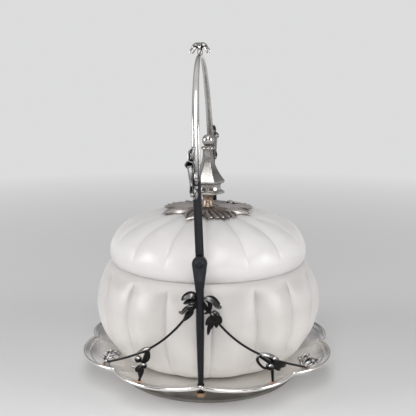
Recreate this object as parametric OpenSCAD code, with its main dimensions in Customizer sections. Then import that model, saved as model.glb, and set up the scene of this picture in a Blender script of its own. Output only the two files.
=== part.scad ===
/* [Foot and tray] */
// Radius of the foot where it stands
foot_r = 61; // [50:1:66]
// Height of the foot under the tray
foot_h = 10.8; // [6:0.2:16]
// Radius of the foot where it meets the tray
foot_waist_r = 53; // [44:1:55]
// Thickness of the plated sheet
sheet = 1.2; // [0.8:0.1:1.8]
// Radius of the flat floor that the bowl stands on
floor_r = 57; // [50:1:62]
// Radius of the tray at the tip of a lobe
tray_r = 88; // [85:0.5:96]
// Radius of the tray at a notch between two lobes
notch_r = 80.8; // [79:0.2:84]
// Number of lobes round the tray
lobes = 8; // [4:4:12]
// Height of the rim above the floor
rim_rise = 7; // [4:0.5:10]
// Thickness of the bead along the rim
bead_d = 2; // [1.4:0.1:3]
// Extra height of the crease at each notch
notch_ridge = 0.6; // [0:0.1:1.5]

/* [Bowl] */
// Radius of the flat base of the bowl
bowl_base_r = 45; // [35:1:50]
// Radius of the bowl at its widest
bowl_belly_r = 76.6; // [70:0.2:78]
// Height of the widest line above the base
belly_h = 40; // [34:1:46]
// Height at which the shoulder curve would close, above the widest line
shoulder_h = 36; // [32:1:44]
// Height of the bowl
bowl_h = 68; // [62:1:70]
// Thickness of the glass
glass = 3.8; // [3:0.2:5]
// Number of ribs round the bowl and the lid
ribs = 16; // [12:2:24]
// Depth of the creases between the bowl's ribs
bowl_crease = 3; // [0.5:0.1:3.2]
// Plain band under the mouth of the bowl
bowl_band = 8; // [4:1:14]

/* [Lid] */
// Radius of the lid
lid_r = 67; // [66:0.2:70]
// Height of the plain band round the lid
lid_band = 6; // [4:0.5:9]
// Height of the dome above the band
dome_h = 27; // [22:0.5:34]
// Fullness of the dome, where 2 is an ellipse
dome_full = 2.3; // [2:0.1:3]
// Depth of the creases between the lid's ribs
lid_crease = 2.4; // [0.5:0.1:2.6]
// Depth of the ring inside the bowl's mouth
lid_ring_h = 5; // [3:0.5:9]
// Gap between that ring and the mouth
lid_ring_gap = 0.8; // [0.4:0.1:1.5]
// Radius of the flat on top of the dome
dome_flat_r = 9; // [8:0.5:12]

/* [Finial] */
// Radius of the rosette at its leaf tips
rosette_r = 29; // [24:0.5:34]
// Number of leaves in the rosette
rosette_leaves = 8; // [6:2:12]
// Height of the hub of the rosette
hub_h = 2; // [1.5:0.1:4]
// Height of the stem
stem_h = 8.8; // [6:0.2:14]
// Radius of the stem at its waist
stem_waist_r = 3.4; // [2.8:0.1:4.5]
// Radius of the stem at its ends
stem_end_r = 5; // [4.8:0.1:6]
// Thickness of the collar
collar_t = 2.5; // [1.5:0.1:4]
// Radius to the corners of the collar and of the bell's rim
bell_r = 11.6; // [9:0.1:14]
// Depth of the groove between the collar and the bell
groove_h = 4.4; // [2:0.2:6]
// Height of the flared bell above its rim
bell_h = 20.3; // [14:0.1:28]
// Radius to the corners at the top of the bell
bell_top_r = 3.5; // [3.2:0.1:5]
// Radius of the ball on top
ball_r = 4.1; // [3:0.1:6]
// Radius of the disc under the ball
knop_disc_r = 4.8; // [4:0.1:7]
// Radius of the stud through the lid
stud_r = 2; // [1.5:0.1:2.4]

/* [Uprights and bail] */
// Distance of the uprights from the centre at the tray
upright_y = 76.2; // [75:0.1:77]
// Distance of the pivot eyes from the centre
pivot_y = 84; // [82:0.2:92]
// Height of the pivot above the floor of the tray
pivot_h = 86; // [74:1:110]
// Radius of an upright at the tray
upright_low_r = 1.7; // [1.4:0.05:2]
// Radius of an upright below its eye
upright_top_r = 2.45; // [2:0.05:2.8]
// Radius of an upright's eye
eye_r = 4.45; // [3.8:0.05:6]
// Thickness of each eye
eye_t = 2.4; // [1.6:0.1:3]
// Radius of the pivot rivets
rivet_r = 1.5; // [1.2:0.1:2]
// Height of the bail's crown above the pivot
bail_h = 119; // [100:1:150]
// Squareness of the arch, where 2 is an ellipse
arch_square = 2.4; // [2:0.1:3]
// Width of the bail at its eyes
bail_w = 5; // [3.6:0.1:6.5]
// Width of the bail at its crown
crown_w = 3.3; // [2.4:0.1:5]
// Thickness of the bail at its crown
crown_t = 2.8; // [2:0.1:4]
// How far the bail stands off the upright position, in degrees
bail_lean = 2.5; // [0:0.5:6]
// Width across the crest flower
crest_w = 14.5; // [10:0.5:20]
// Height of the crest flower above the bail
crest_h = 7.8; // [5:0.2:12]

/* [Branches and sprays] */
// Thickness of the branch wires
wire_d = 1.5; // [1:0.1:2.2]
// Height above the tray floor where the branches leave the uprights
branch_h = 66; // [58:1:70]
// Angle round the tray at which a branch ends, from its upright
branch_turn = 60; // [52:1:68]
// Where a branch ends on the tray, as a share of the tray's radius
branch_reach = 0.875; // [0.85:0.005:0.92]
// Angle round the tray at which a leaf prop stands, from its upright
prop_turn = 27; // [22:1:32]
// How much nearer their uprights the front left and rear right props stand, in degrees
prop_skew = 4; // [0:1:8]
// Where the foot of a leaf prop stands, as a share of the tray's radius
prop_reach = 0.875; // [0.85:0.005:0.89]
// Thickness of the cast leaves
leaf_t = 0.9; // [0.6:0.1:1.4]
// Length of a spray's longest leaf
leaf_len = 11; // [8:0.5:14]

/* [Hidden] */

silver = [0.72, 0.71, 0.69];
dark_silver = [0.42, 0.41, 0.40];
satin_glass = [0.90, 0.89, 0.87];
cork = [0.62, 0.48, 0.34];

// Small fits shared by the pieces
slip = 0.05;
rest_gap = 0.1;
lay_gap = 0.3;
solder_bite = 0.25;
front = -1;
rear = 1;
left = -1;
right = 1;
round_fn = 64;

// Heights of the main stack, from the table up
floor_z = foot_h + sheet;
mouth_z = floor_z + bowl_h;
dome_z = mouth_z + lid_band;
dome_top_z = dome_z + dome_h;
pivot_z = floor_z + pivot_h;

// The clamp that holds the finial to the lid
soft_t = 0.6;
washer_t = 1;
nut_t = 3;
clamp_r = 7;
nut_r = 4;
dome_under_z = dome_top_z - glass;
hub_z = dome_top_z + soft_t;
stem_z = hub_z + hub_h;
collar_z = stem_z + stem_h;
groove_z = collar_z + collar_t;
bell_z = groove_z + groove_h;
bell_rim_t = 1.9;
bell_top_z = bell_z + bell_rim_t + bell_h;
knop_h = 3;
ball_z = bell_top_z + knop_h + ball_r * 0.88;
stud_depth = 6;
stud_low_z = dome_under_z - soft_t - washer_t - nut_t - 1;

// A lobe's outline is 0 at a notch and 1 at the tip
lobe_round = 0.75;
dish_curve = 1.6;
function lobe_wave(a) = pow(abs(sin(lobes / 2 * a)), lobe_round);
function tray_edge(a) = notch_r + (tray_r - notch_r) * lobe_wave(a);
function rim_share(r, a) = max(0, (r - floor_r) / (tray_edge(a) - floor_r));
function dish(t, a) =
    floor_z + rim_rise * pow(t, dish_curve) + notch_ridge * (1 - lobe_wave(a)) * t * t;
function tray_top(r, a) = dish(rim_share(r, a), a);

// Places given by radius, angle round the axis and height
function polar(r, a, z) = [r * cos(a), r * sin(a), z];
function mix(a, b, t) = a + (b - a) * t;

// Faces of a solid that closes on itself round the axis
function hoop_faces(n, k) = [for (j = [0 : n - 1], i = [0 : k - 1])
    let (here = j * k, next = (j + 1) % n * k, up = (i + 1) % k)
    each [[here + i, next + i, next + up], [here + i, next + up, here + up]]];

module hoop(sections) {
    polyhedron([for (s = sections) each s], hoop_faces(len(sections), len(sections[0])), convexity = 6);
}

// A solid whose profile starts and ends on the axis, at two given heights
module cup(sections, start_z, end_z) {
    n = len(sections);
    k = len(sections[0]);
    start = n * k;
    end = start + 1;
    faces = [for (j = [0 : n - 1])
        let (here = j * k, next = (j + 1) % n * k)
        each concat(
            [[start, next, here], [here + k - 1, next + k - 1, end]],
            [for (i = [0 : k - 2])
                each [[here + i, next + i, next + i + 1], [here + i, next + i + 1, here + i + 1]]])];
    points = concat([for (s = sections) each s], [[0, 0, start_z], [0, 0, end_z]]);
    polyhedron(points, faces, convexity = 6);
}

// Faces of a bar with two flat ends
function bar_faces(n, k) = concat(
    [[for (q = [k - 1 : -1 : 0]) q]],
    [[for (q = [0 : k - 1]) (n - 1) * k + q]],
    [for (i = [0 : n - 2], q = [0 : k - 1])
        let (here = i * k, next = (i + 1) * k, up = (q + 1) % k)
        each [[here + q, next + up, next + q], [here + q, here + up, next + up]]]);

// A bar along a path: half sizes across and along the reference side at each point
module bar(path, across, along, sides, side_ref, turn = 0) {
    last = len(path) - 1;
    points = [for (i = [0 : last])
        let (ahead = path[min(i + 1, last)] - path[max(i - 1, 0)],
             go = ahead / norm(ahead),
             side = cross(go, side_ref) / norm(cross(go, side_ref)),
             lift = cross(side, go))
        each [for (q = [0 : sides - 1])
            let (b = turn + q * 360 / sides)
            path[i] + side * across[i] * cos(b) + lift * along[i] * sin(b)]];
    polyhedron(points, bar_faces(last + 1, sides), convexity = 6);
}

// Sheet tray: a flat floor, dished lobes and a bead along the rim
tray_steps = lobes * 8;
dish_shares = [0, 0.35, 0.65, 0.9];

function tray_section(a) =
    let (edge = tray_edge(a), rim = dish(1, a), last = len(dish_shares) - 1)
    concat(
        [for (t = dish_shares) polar(mix(floor_r, edge, t), a, dish(t, a))],
        [polar(edge - bead_d * 0.75, a, rim + bead_d * 0.45),
         polar(edge - bead_d * 0.25, a, rim + bead_d * 0.45),
         polar(edge, a, rim),
         polar(edge - bead_d * 0.3, a, rim - bead_d * 0.55)],
        [for (i = [last : -1 : 0])
            polar(mix(floor_r, edge, dish_shares[i]), a, dish(dish_shares[i], a) - sheet)]);

tenon_r = upright_low_r * 0.85;
collar_r = upright_low_r + 0.5;
boss_r = collar_r + 0.9;
boss_skin = 0.3;
boss_top_z = tray_top(upright_y + collar_r, 90) + boss_skin;
boss_low_z = tray_top(upright_y - boss_r, 90) - sheet - boss_skin;
boss_h = boss_top_z - boss_low_z;
floor_lap = 1;

module tray() {
    color(silver) difference() {
        union() {
            hoop([for (j = [0 : tray_steps - 1]) tray_section(j * 360 / tray_steps)]);
            translate([0, 0, foot_h]) cylinder(r = floor_r + floor_lap, h = sheet, $fn = round_fn);
            for (s = [front, rear])
                translate([0, s * upright_y, boss_low_z]) cylinder(r = boss_r, h = boss_h, $fn = round_fn);
        }
        for (s = [front, rear])
            translate([0, s * upright_y, boss_low_z - 1])
                cylinder(r = tenon_r + slip, h = boss_h + 2, $fn = round_fn);
    }
}

// Spun foot, open underneath, with a thick flat edge to stand on
foot_edge_t = 1.4;
foot_edge_w = 2.6;
foot_steps = 8;
foot_sweep = 75;

function foot_flare(i) =
    let (a = foot_sweep * i / foot_steps)
    [mix(foot_waist_r, foot_r - foot_edge_t / 2, (1 - cos(a)) / (1 - cos(foot_sweep))),
     mix(foot_h, foot_edge_t, sin(a) / sin(foot_sweep))];

module foot_ring() {
    color(silver) rotate_extrude($fn = round_fn) polygon(concat(
        [for (i = [0 : foot_steps]) foot_flare(i)],
        [[foot_r, foot_edge_t * 0.6], [foot_r, 0], [foot_r - foot_edge_w, 0]],
        [for (i = [foot_steps - 1 : -1 : 0]) foot_flare(i) - [sheet, i == 0 ? 0 : sheet * 0.3]]));
}

// An upright: tenon, tapered rod and flattened eye with its pivot bore
nut_under_t = 2.4;
collar_h = 1;
eye_tail = 16;
eye_shoulder_a = 9;
rod_full = 0.55;
rod_low_z = boss_top_z + collar_h / 2;
rod_top_z = pivot_z - 10;
rod_run = pivot_y - upright_y;
rod_rise = rod_top_z - rod_low_z;
rod_len = norm([rod_run, rod_rise]);
rod_tilt = atan2(rod_run, rod_rise);
rod_end = eye_r * 1.2;

module eye_outline() {
    circle(r = eye_r, $fn = round_fn);
    polygon([
        [-eye_r * cos(eye_shoulder_a), -eye_r * sin(eye_shoulder_a)],
        [-upright_top_r, -eye_tail],
        [upright_top_r, -eye_tail],
        [eye_r * cos(eye_shoulder_a), -eye_r * sin(eye_shoulder_a)],
        [0, 0]]);
}

module upright(s) {
    color(dark_silver) difference() {
        union() {
            translate([0, s * upright_y, boss_low_z - nut_under_t])
                cylinder(r = tenon_r, h = boss_h + nut_under_t + collar_h / 3, $fn = round_fn);
            translate([0, s * upright_y, boss_top_z]) cylinder(r = collar_r, h = collar_h, $fn = round_fn);
            translate([0, s * upright_y, rod_low_z]) rotate([-s * rod_tilt, 0, 0])
                rotate_extrude($fn = round_fn) polygon([
                    [0, 0], [upright_low_r, 0], [upright_top_r, rod_len * rod_full],
                    [upright_top_r, rod_len], [eye_t * 0.45, rod_len + rod_end], [0, rod_len + rod_end]]);
            translate([0, s * pivot_y, pivot_z]) rotate([90, 0, 0])
                linear_extrude(height = eye_t, center = true) eye_outline();
        }
        translate([0, s * pivot_y, pivot_z]) rotate([90, 0, 0])
            cylinder(r = rivet_r + slip, h = eye_t * 3, center = true, $fn = round_fn);
    }
}

module upright_front() { upright(front); }
module upright_rear() { upright(rear); }

// Six-sided nuts on the tenons under the tray
module upright_nuts() {
    color(dark_silver) for (s = [front, rear])
        translate([0, s * upright_y, boss_low_z - nut_under_t]) difference() {
            cylinder(r = boss_r, h = nut_under_t, $fn = 6);
            translate([0, 0, -1]) cylinder(r = tenon_r + slip, h = nut_under_t + 2, $fn = round_fn);
        }
}

// Pivot stack, from the upright's eye inwards: washer, the bail's eye, rivet head
play = 0.06;
pivot_washer_t = 0.5;
pivot_washer_r = 3.6;
rivet_head_t = 0.9;
rivet_head_r = 2.7;
eye_in_y = pivot_y - eye_t / 2;
washer_in_y = eye_in_y - play - pivot_washer_t;
bail_y = washer_in_y - play - eye_t / 2;
head_y = bail_y - eye_t / 2 - play;

module on_pivot(s, y) {
    translate([0, s * y, pivot_z]) rotate([-s * 90, 0, 0]) children();
}

module pivot_rivet(s) {
    color(dark_silver) {
        on_pivot(s, head_y - rivet_head_t) cylinder(r = rivet_head_r, h = rivet_head_t, $fn = round_fn);
        on_pivot(s, head_y - rivet_head_t / 2)
            cylinder(r = rivet_r, h = pivot_y + eye_t / 2 - head_y + rivet_head_t, $fn = round_fn);
        on_pivot(s, pivot_y + eye_t / 2)
            cylinder(r1 = rivet_head_r, r2 = rivet_r, h = rivet_head_t, $fn = round_fn);
    }
}

module pivot_rivet_front() { pivot_rivet(front); }
module pivot_rivet_rear() { pivot_rivet(rear); }

module pivot_washers() {
    color(dark_silver) for (s = [front, rear])
        on_pivot(s, washer_in_y) difference() {
            cylinder(r = pivot_washer_r, h = pivot_washer_t, $fn = round_fn);
            translate([0, 0, -1]) cylinder(r = rivet_r + slip, h = pivot_washer_t + 2, $fn = round_fn);
        }
}

// A branch wire: from the axis of its upright, down round the bowl, to a side lobe of the tray
wire_r = wire_d / 2;
branch_steps = 16;
branch_start = 0.012;
branch_top_z = floor_z + branch_h;
branch_line = 0.6;
branch_drop = 5;

function upright_at(z) = upright_y + rod_run * (z - rod_low_z) / rod_rise;
branch_top_r = upright_at(branch_top_z);
branch_end_r = tray_r * branch_reach;

branch_end_z = tray_top(branch_end_r, branch_turn - 90) + wire_r - solder_bite;

// A branch falls steeply beside its upright and then in a nearly straight line
function branch_fall(t) = branch_line * (1 - t) + (1 - branch_line) * pow(1 - t, branch_drop);

function branch_at(t) = polar(
    mix(branch_top_r, branch_end_r, t * t),
    branch_turn * t - 90,
    mix(branch_end_z, branch_top_z, branch_fall(t)));

// The front right quarter, mirrored to the other three
module quarter(s, side) {
    mirror([side == right ? 0 : 1, 0, 0]) mirror([0, s == front ? 0 : 1, 0]) children();
}

module branch(s, side) {
    path = [for (i = [0 : branch_steps]) branch_at(mix(branch_start, 1, i / branch_steps))];
    half = [for (p = path) wire_r];
    color(silver) quarter(s, side) bar(path, half, half, 6, [0, 0, 1]);
}

module branch_front_left() { branch(front, left); }
module branch_front_right() { branch(front, right); }
module branch_rear_left() { branch(rear, left); }
module branch_rear_right() { branch(rear, right); }

// A cast leaf along +X that swells to its belly and bends down to a point
module leaf_belly(long, wide) {
    scale([long * 0.2, wide / 2, 1]) cylinder(r = 1, h = leaf_t, center = true, $fn = 6);
}

module leaf(long, wide, droop) {
    belly = [long * 0.45, 0, -droop * 0.2];
    hull() {
        cylinder(r = leaf_t * 0.6, h = leaf_t, center = true, $fn = 4);
        translate(belly) leaf_belly(long, wide);
    }
    hull() {
        translate(belly) leaf_belly(long, wide);
        translate([long, 0, -droop]) cylinder(r = leaf_t * 0.35, h = leaf_t * 0.7, center = true, $fn = 4);
    }
}

// A leaf that starts at a place and points along a direction, turned about its own length
module leaf_to(place, heading, pitch, roll, long, wide, droop) {
    translate(place) rotate([0, 0, heading]) rotate([0, -pitch, 0]) rotate([roll, 0, 0])
        leaf(long, wide, droop);
}

module bud(place, r) {
    translate(place) sphere(r = r, $fn = 7);
}

// A leaf from one place to another, its face outward
module blade(from, to, wide) {
    way = to - from;
    long = norm(way);
    leaf_to(from, atan2(way[1], way[0]), asin(way[2] / long), 80, long, wide, leaf_t * 0.7);
}

// Sprays come in two kinds: one front left and rear right, the other in the other corners
function first_kind(s, side) = (s == front) == (side == left);

// Blossom spray beside an upright, in leaf lengths across from the upright and up from its middle
spray_drop = 0.9;
spray_z = branch_top_z - leaf_len * spray_drop;

function blossom_at(u, w) =
    let (x = leaf_len * u)
    [x, -sqrt(pow(branch_top_r, 2) - x * x) - leaf_t * 0.6, spray_z + leaf_len * w];

// Rows of a leaf: its start, its tip and its width
pod_leaves = [
    [0.12, 0.36, 0.5, 0.18, 0.22], [0.27, 0.32, 0.94, 0.64, 0.42], [0.27, 0.32, 0.6, 1, 0.36],
    [0.45, 0.27, 1.12, -0.04, 0.3], [0.42, 0.2, 0.9, -0.48, 0.36]];
pod_bud = [0.47, 0.24, 0.2];
petal_leaves = [
    [0.12, 0.34, 0.8, -0.14, 0.22], [0.4, 0.16, 0.22, 0.84, 0.28], [0.4, 0.16, 0.24, -0.1, 0.24],
    [0.28, 0.6, 1.14, 0.3, 0.38], [0.76, -0.16, 1.13, -0.6, 0.32], [0.74, -0.2, 0.88, -0.85, 0.27],
    [0.72, -0.2, 0.6, -0.9, 0.25], [0.68, -0.18, 0.31, -0.73, 0.23], [0.68, -0.24, 0.43, -1.28, 0.22]];
petal_bud = [0.78, -0.13, 0.24];

module blossom(s, side) {
    leaves = first_kind(s, side) ? pod_leaves : petal_leaves;
    berry = first_kind(s, side) ? pod_bud : petal_bud;
    color(dark_silver) quarter(s, side) {
        bud(blossom_at(berry[0], berry[1]), leaf_len * berry[2]);
        for (l = leaves) blade(blossom_at(l[0], l[1]), blossom_at(l[2], l[3]), leaf_len * l[4]);
    }
}

module blossom_front_left() { blossom(front, left); }
module blossom_front_right() { blossom(front, right); }
module blossom_rear_left() { blossom(rear, left); }
module blossom_rear_right() { blossom(rear, right); }

// Leaf spray hung under a branch, with a stalk that stands on the tray
prop_step = 8;
stalk_r = leaf_t * 0.7;

// A place in a leaf prop, in leaf lengths along the wire's way round and down from the wire
function prop_at(root, foot, heading, u, w) =
    let (fall = leaf_len * w, lean = 0.7 * fall / (root[2] - foot[2]))
    [mix(root[0], foot[0], lean), mix(root[1], foot[1], lean), root[2] - fall]
        + leaf_len * u * [cos(heading), sin(heading), 0];

fork_leaves = [
    [0, 0, 0.55, 0.22, 0.24], [-0.02, 0.02, -0.08, 0.8, 0.24], [0.04, 0.7, 0.42, 0.7, 0.16],
    [0.06, 1.08, 0.76, 1.2, 0.18], [0.08, 1.04, 0.4, 1.46, 0.24], [0.08, 1.1, 0.12, 1.55, 0.36]];
fork_buds = [[0.4, 0.69, 0.17], [-0.02, 1.02, 0.16]];
fork_knee = [0.1, 1.15];
loop_leaves = [
    [0, 0, 0.84, 0.4, 0.28], [-0.1, 0, -0.36, 0.36, 0.13], [-0.35, 0.3, -0.02, 0.88, 0.13],
    [-0.04, 0.86, 0.32, 0.84, 0.13], [0.28, 0.46, 0.64, 0.4, 0.16], [0.4, 0.62, 1.2, 0.96, 0.34],
    [0.42, 0.78, 0.84, 1.1, 0.26]];
loop_buds = [[0.26, 0.8, 0.2], [0.62, 0.4, 0.16]];
loop_knee = [0.46, 0.86];

module leaf_prop(s, side) {
    first = first_kind(s, side);
    turn = prop_turn - (first ? prop_skew : 0);
    root = branch_at(turn / branch_turn);
    foot_r = tray_r * prop_reach;
    foot_a = turn + prop_step - 90;
    foot = polar(foot_r, foot_a, tray_top(foot_r, foot_a) - solder_bite);
    heading = turn;
    knee_at = first ? fork_knee : loop_knee;
    knee = prop_at(root, foot, heading, knee_at[0], knee_at[1]);
    color(dark_silver) quarter(s, side) {
        bud(root, leaf_len * 0.14);
        hull() {
            bud(root, stalk_r * 1.6);
            bud(knee, stalk_r * 1.2);
        }
        hull() {
            bud(knee, stalk_r * 1.2);
            translate(foot) cylinder(r = stalk_r * 1.5, h = stalk_r, $fn = 8);
        }
        for (b = first ? fork_buds : loop_buds)
            bud(prop_at(root, foot, heading, b[0], b[1]), leaf_len * b[2]);
        for (l = first ? fork_leaves : loop_leaves)
            blade(prop_at(root, foot, heading, l[0], l[1]), prop_at(root, foot, heading, l[2], l[3]),
                leaf_len * l[4]);
    }
}

module leaf_prop_front_left() { leaf_prop(front, left); }
module leaf_prop_front_right() { leaf_prop(front, right); }
module leaf_prop_rear_left() { leaf_prop(rear, left); }
module leaf_prop_rear_right() { leaf_prop(rear, right); }

// Leaves and a bud over the end of a branch, on a side lobe
rim_first_t = 0.86;
rim_second_t = 0.96;

module rim_spray(s, side) {
    t = first_kind(s, side) ? rim_first_t : rim_second_t;
    root = branch_at(t) + [0, 0, wire_r];
    heading = branch_turn * t;
    color(dark_silver) quarter(s, side) {
        bud(root, leaf_len * 0.17);
        leaf_to(root, heading + 65, 42, 0, leaf_len * 0.7, leaf_len * 0.36, 3);
        leaf_to(root, heading + 10, 28, 30, leaf_len * 0.7, leaf_len * 0.36, 2);
        leaf_to(root, heading + 150, 36, -20, leaf_len * 0.75, leaf_len * 0.38, 2.5);
        leaf_to(root, heading + 200, 22, -30, leaf_len * 0.6, leaf_len * 0.32, 1.5);
    }
}

module rim_spray_front_left() { rim_spray(front, left); }
module rim_spray_front_right() { rim_spray(front, right); }
module rim_spray_rear_left() { rim_spray(rear, left); }
module rim_spray_rear_right() { rim_spray(rear, right); }

// The bail: a tapered arch between two eyes, in a frame whose origin is the pivot axis
bail_steps = 32;
bail_eye_r = eye_r * 0.9;
arch_rise = bail_h - crown_t / 2;
arch_power = 2 / arch_square;

function arch_at(a) = [
    0,
    -bail_y * sign(cos(a)) * pow(abs(cos(a)), arch_power),
    arch_rise * pow(abs(sin(a)), arch_power)];

module as_swung() {
    translate([0, 0, pivot_z]) rotate([0, -bail_lean, 0]) children();
}

module bail() {
    angles = [for (i = [0 : bail_steps]) 180 * i / bail_steps];
    path = [for (a = angles) arch_at(a)];
    thick = [for (a = angles) mix(eye_t, crown_t, sin(a)) / 2];
    wide = [for (a = angles) mix(bail_w, crown_w, pow(sin(a), 3)) / 2];
    color(dark_silver) as_swung() difference() {
        union() {
            bar(path, thick, wide, 8, [1, 0, 0]);
            for (s = [front, rear]) translate([0, s * bail_y, 0]) rotate([90, 0, 0])
                cylinder(r = bail_eye_r, h = eye_t, center = true, $fn = round_fn);
        }
        for (s = [front, rear]) translate([0, s * bail_y, 0]) rotate([90, 0, 0])
            cylinder(r = rivet_r + slip, h = eye_t * 2, center = true, $fn = round_fn);
    }
}

// Two tiers of drooping petals and a button on the crown
crest_petals = 6;

module crest_flower() {
    base_z = bail_h - solder_bite;
    reach = crest_w / 2;
    core_r = crest_w * 0.15;
    color(dark_silver) as_swung() translate([0, 0, base_z]) {
        cylinder(r = core_r, h = crest_h * 0.8, $fn = 12);
        bud([0, 0, crest_h * 0.85], crest_h * 0.15 + solder_bite);
        for (i = [0 : crest_petals - 1]) {
            low_a = 30 + i * 360 / crest_petals;
            high_a = i * 360 / crest_petals;
            leaf_to(polar(core_r * 0.6, low_a, crest_h * 0.4), low_a, 6, 0,
                reach - core_r * 0.6, reach * 0.6, crest_h * 0.32);
            leaf_to(polar(core_r * 0.6, high_a, crest_h * 0.72), high_a, 10, 0,
                reach * 0.8 - core_r * 0.6, reach * 0.5, crest_h * 0.25);
        }
    }
}

// A leaf and trumpet blossom on one side of a bail leg: left at the front, right at the rear
spray_share = 0.455;

module bail_spray(s) {
    side = s;
    z = arch_rise * spray_share;
    y = s * bail_y * pow(1 - pow(spray_share, arch_square), 1 / arch_square);
    root = [side * (bail_w / 2 - solder_bite), y, z];
    out = side > 0 ? 0 : 180;
    color(dark_silver) as_swung() {
        bud(root, leaf_len * 0.2);
        bud(root + [side * leaf_len * 0.22, 0, -leaf_len * 0.45], leaf_len * 0.22);
        bud(root + [0, 0, -leaf_len * 0.3], leaf_len * 0.18);
        leaf_to(root, out, 82, 0, leaf_len * 1.2, leaf_len * 0.35, 1);
        leaf_to(root, out, 50, 0, leaf_len * 0.55, leaf_len * 0.35, 1.5);
        leaf_to(root + [side * leaf_len * 0.1, 0, -leaf_len * 0.4], out, -70, 0,
            leaf_len, leaf_len * 0.3, -0.5);
        leaf_to(root + [0, 0, -leaf_len * 0.5], out, -86, 0, leaf_len * 1.3, leaf_len * 0.32, -0.3);
        leaf_to(root, out, -20, 0, leaf_len * 0.5, leaf_len * 0.32, 1.5);
    }
}

module bail_spray_front() { bail_spray(front); }
module bail_spray_rear() { bail_spray(rear); }

// Melon ribs: 0 on a crest and 1 in a crease
rib_steps = ribs * 4;
rib_sharp = 0.7;
bowl_turn = -6.25;
lid_turn = -8.75;
function crease(a) = 1 - pow(abs(cos(ribs / 2 * a)), rib_sharp);

// The bowl: radius of its outside at a height above its base
function bowl_swell(z) = z < belly_h ? (belly_h - z) / belly_h : (z - belly_h) / shoulder_h;
function bowl_out(z) = mix(bowl_base_r, bowl_belly_r, sqrt(max(0, 1 - pow(bowl_swell(z), 2))));
function bowl_dent(z) = bowl_crease * sqrt(max(0, sin(180 * z / (bowl_h - bowl_band))))
    * (z < bowl_h - bowl_band ? 1 : 0);

bowl_wall_z = [for (t = [0.02, 0.09, 0.2, 0.34, 0.5, 0.66, 0.8, 0.89, 1]) bowl_h * t];
bowl_inner_z = [for (t = [0.1, 0.24, 0.5, 0.78, 1]) bowl_h * t];
mouth_in_r = bowl_out(bowl_h) - glass;
bowl_floor_round = 4;
bowl_in_gap = glass + bowl_crease;

function bowl_in(z) = z >= bowl_h - bowl_band
    ? bowl_out(z) - glass
    : bowl_out(max(z - glass, 0)) - mix(glass, bowl_in_gap, sin(180 * z / (bowl_h - bowl_band)));

function bowl_section(a) =
    let (outer = [for (i = [len(bowl_wall_z) - 1 : -1 : 0]) bowl_wall_z[i]])
    concat(
        [polar(bowl_base_r - bowl_floor_round, a, floor_z + glass)],
        [for (z = bowl_inner_z) polar(bowl_in(z), a, floor_z + z)],
        [for (z = outer) polar(bowl_out(z) - bowl_dent(z) * crease(a), a, floor_z + z)],
        [polar(bowl_base_r, a, floor_z + rest_gap)]);

module bowl() {
    sections = [for (j = [0 : rib_steps - 1]) bowl_section(j * 360 / rib_steps)];
    color(satin_glass) rotate([0, 0, bowl_turn]) cup(sections, floor_z + glass, floor_z + rest_gap);
}

// The lid: a domed shell with a plain band, a ring inside the mouth and a hole for the stud
function dome_at(r, base_r, rise) = rise * pow(max(0, 1 - pow(r / base_r, dome_full)), 1 / dome_full);
dome_radii = [for (t = [0.22, 0.4, 0.57, 0.71, 0.83, 0.92, 0.975, 1]) lid_r * t];
inner_base_r = lid_r - glass * 1.3;
inner_radii = [for (t = [0.98, 0.83, 0.6, 0.34]) inner_base_r * t];
stud_hole_r = stud_r + 0.6;
ring_out_r = mouth_in_r - lid_ring_gap;
ring_t = 2.6;
band_round = 0.8;

function dome_out(r) = r <= dome_flat_r ? dome_h : dome_at(r - dome_flat_r, lid_r - dome_flat_r, dome_h);
function dome_share(r) = (r - dome_flat_r) / (lid_r - dome_flat_r);
function lid_dent(r) = r >= lid_r ? 0 : lid_crease * sqrt(max(0, dome_share(r)));
function dent_out(r) = pow(max(0, dome_share(r)), 2);

function lid_section(a) = concat(
    [polar(stud_hole_r, a, dome_top_z), polar(dome_flat_r, a, dome_top_z)],
    [for (r = dome_radii)
        let (dent = lid_dent(r) * crease(a))
        polar(r - dent * dent_out(r), a, dome_z + dome_out(r) - dent * (1 - dent_out(r)))],
    [polar(lid_r, a, mouth_z + band_round),
     polar(lid_r - band_round, a, mouth_z),
     polar(ring_out_r, a, mouth_z),
     polar(ring_out_r, a, mouth_z - lid_ring_h),
     polar(ring_out_r - ring_t, a, mouth_z - lid_ring_h),
     polar(ring_out_r - ring_t, a, mouth_z + band_round)],
    [for (r = inner_radii) polar(r, a, dome_z + dome_at(r, inner_base_r, dome_h) - glass)],
    [polar(clamp_r + 1, a, dome_under_z), polar(stud_hole_r, a, dome_under_z)]);

module lid() {
    color(satin_glass) rotate([0, 0, lid_turn])
        hoop([for (j = [0 : rib_steps - 1]) lid_section(j * 360 / rib_steps)]);
}

// Flat rings on the stud
module stud_ring(z, r, h) {
    translate([0, 0, z]) difference() {
        cylinder(r = r, h = h, $fn = round_fn);
        translate([0, 0, -1]) cylinder(r = stud_r + slip, h = h + 2, $fn = round_fn);
    }
}

module rosette_gasket() { color(cork) stud_ring(dome_top_z, stem_end_r + 0.5, soft_t); }
module lid_gasket() { color(cork) stud_ring(dome_under_z - soft_t, clamp_r, soft_t); }
module lid_washer() { color(dark_silver) stud_ring(dome_under_z - soft_t - washer_t, clamp_r, washer_t); }

module finial_nut() {
    color(dark_silver) translate([0, 0, dome_under_z - soft_t - washer_t - nut_t]) difference() {
        cylinder(r = nut_r, h = nut_t, $fn = 6);
        translate([0, 0, -1]) cylinder(r = stud_r + slip, h = nut_t + 2, $fn = round_fn);
    }
}

module finial_stud() {
    color(dark_silver) translate([0, 0, stud_low_z])
        cylinder(r = stud_r, h = bell_z + stud_depth - stud_low_z, $fn = round_fn);
}

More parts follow.
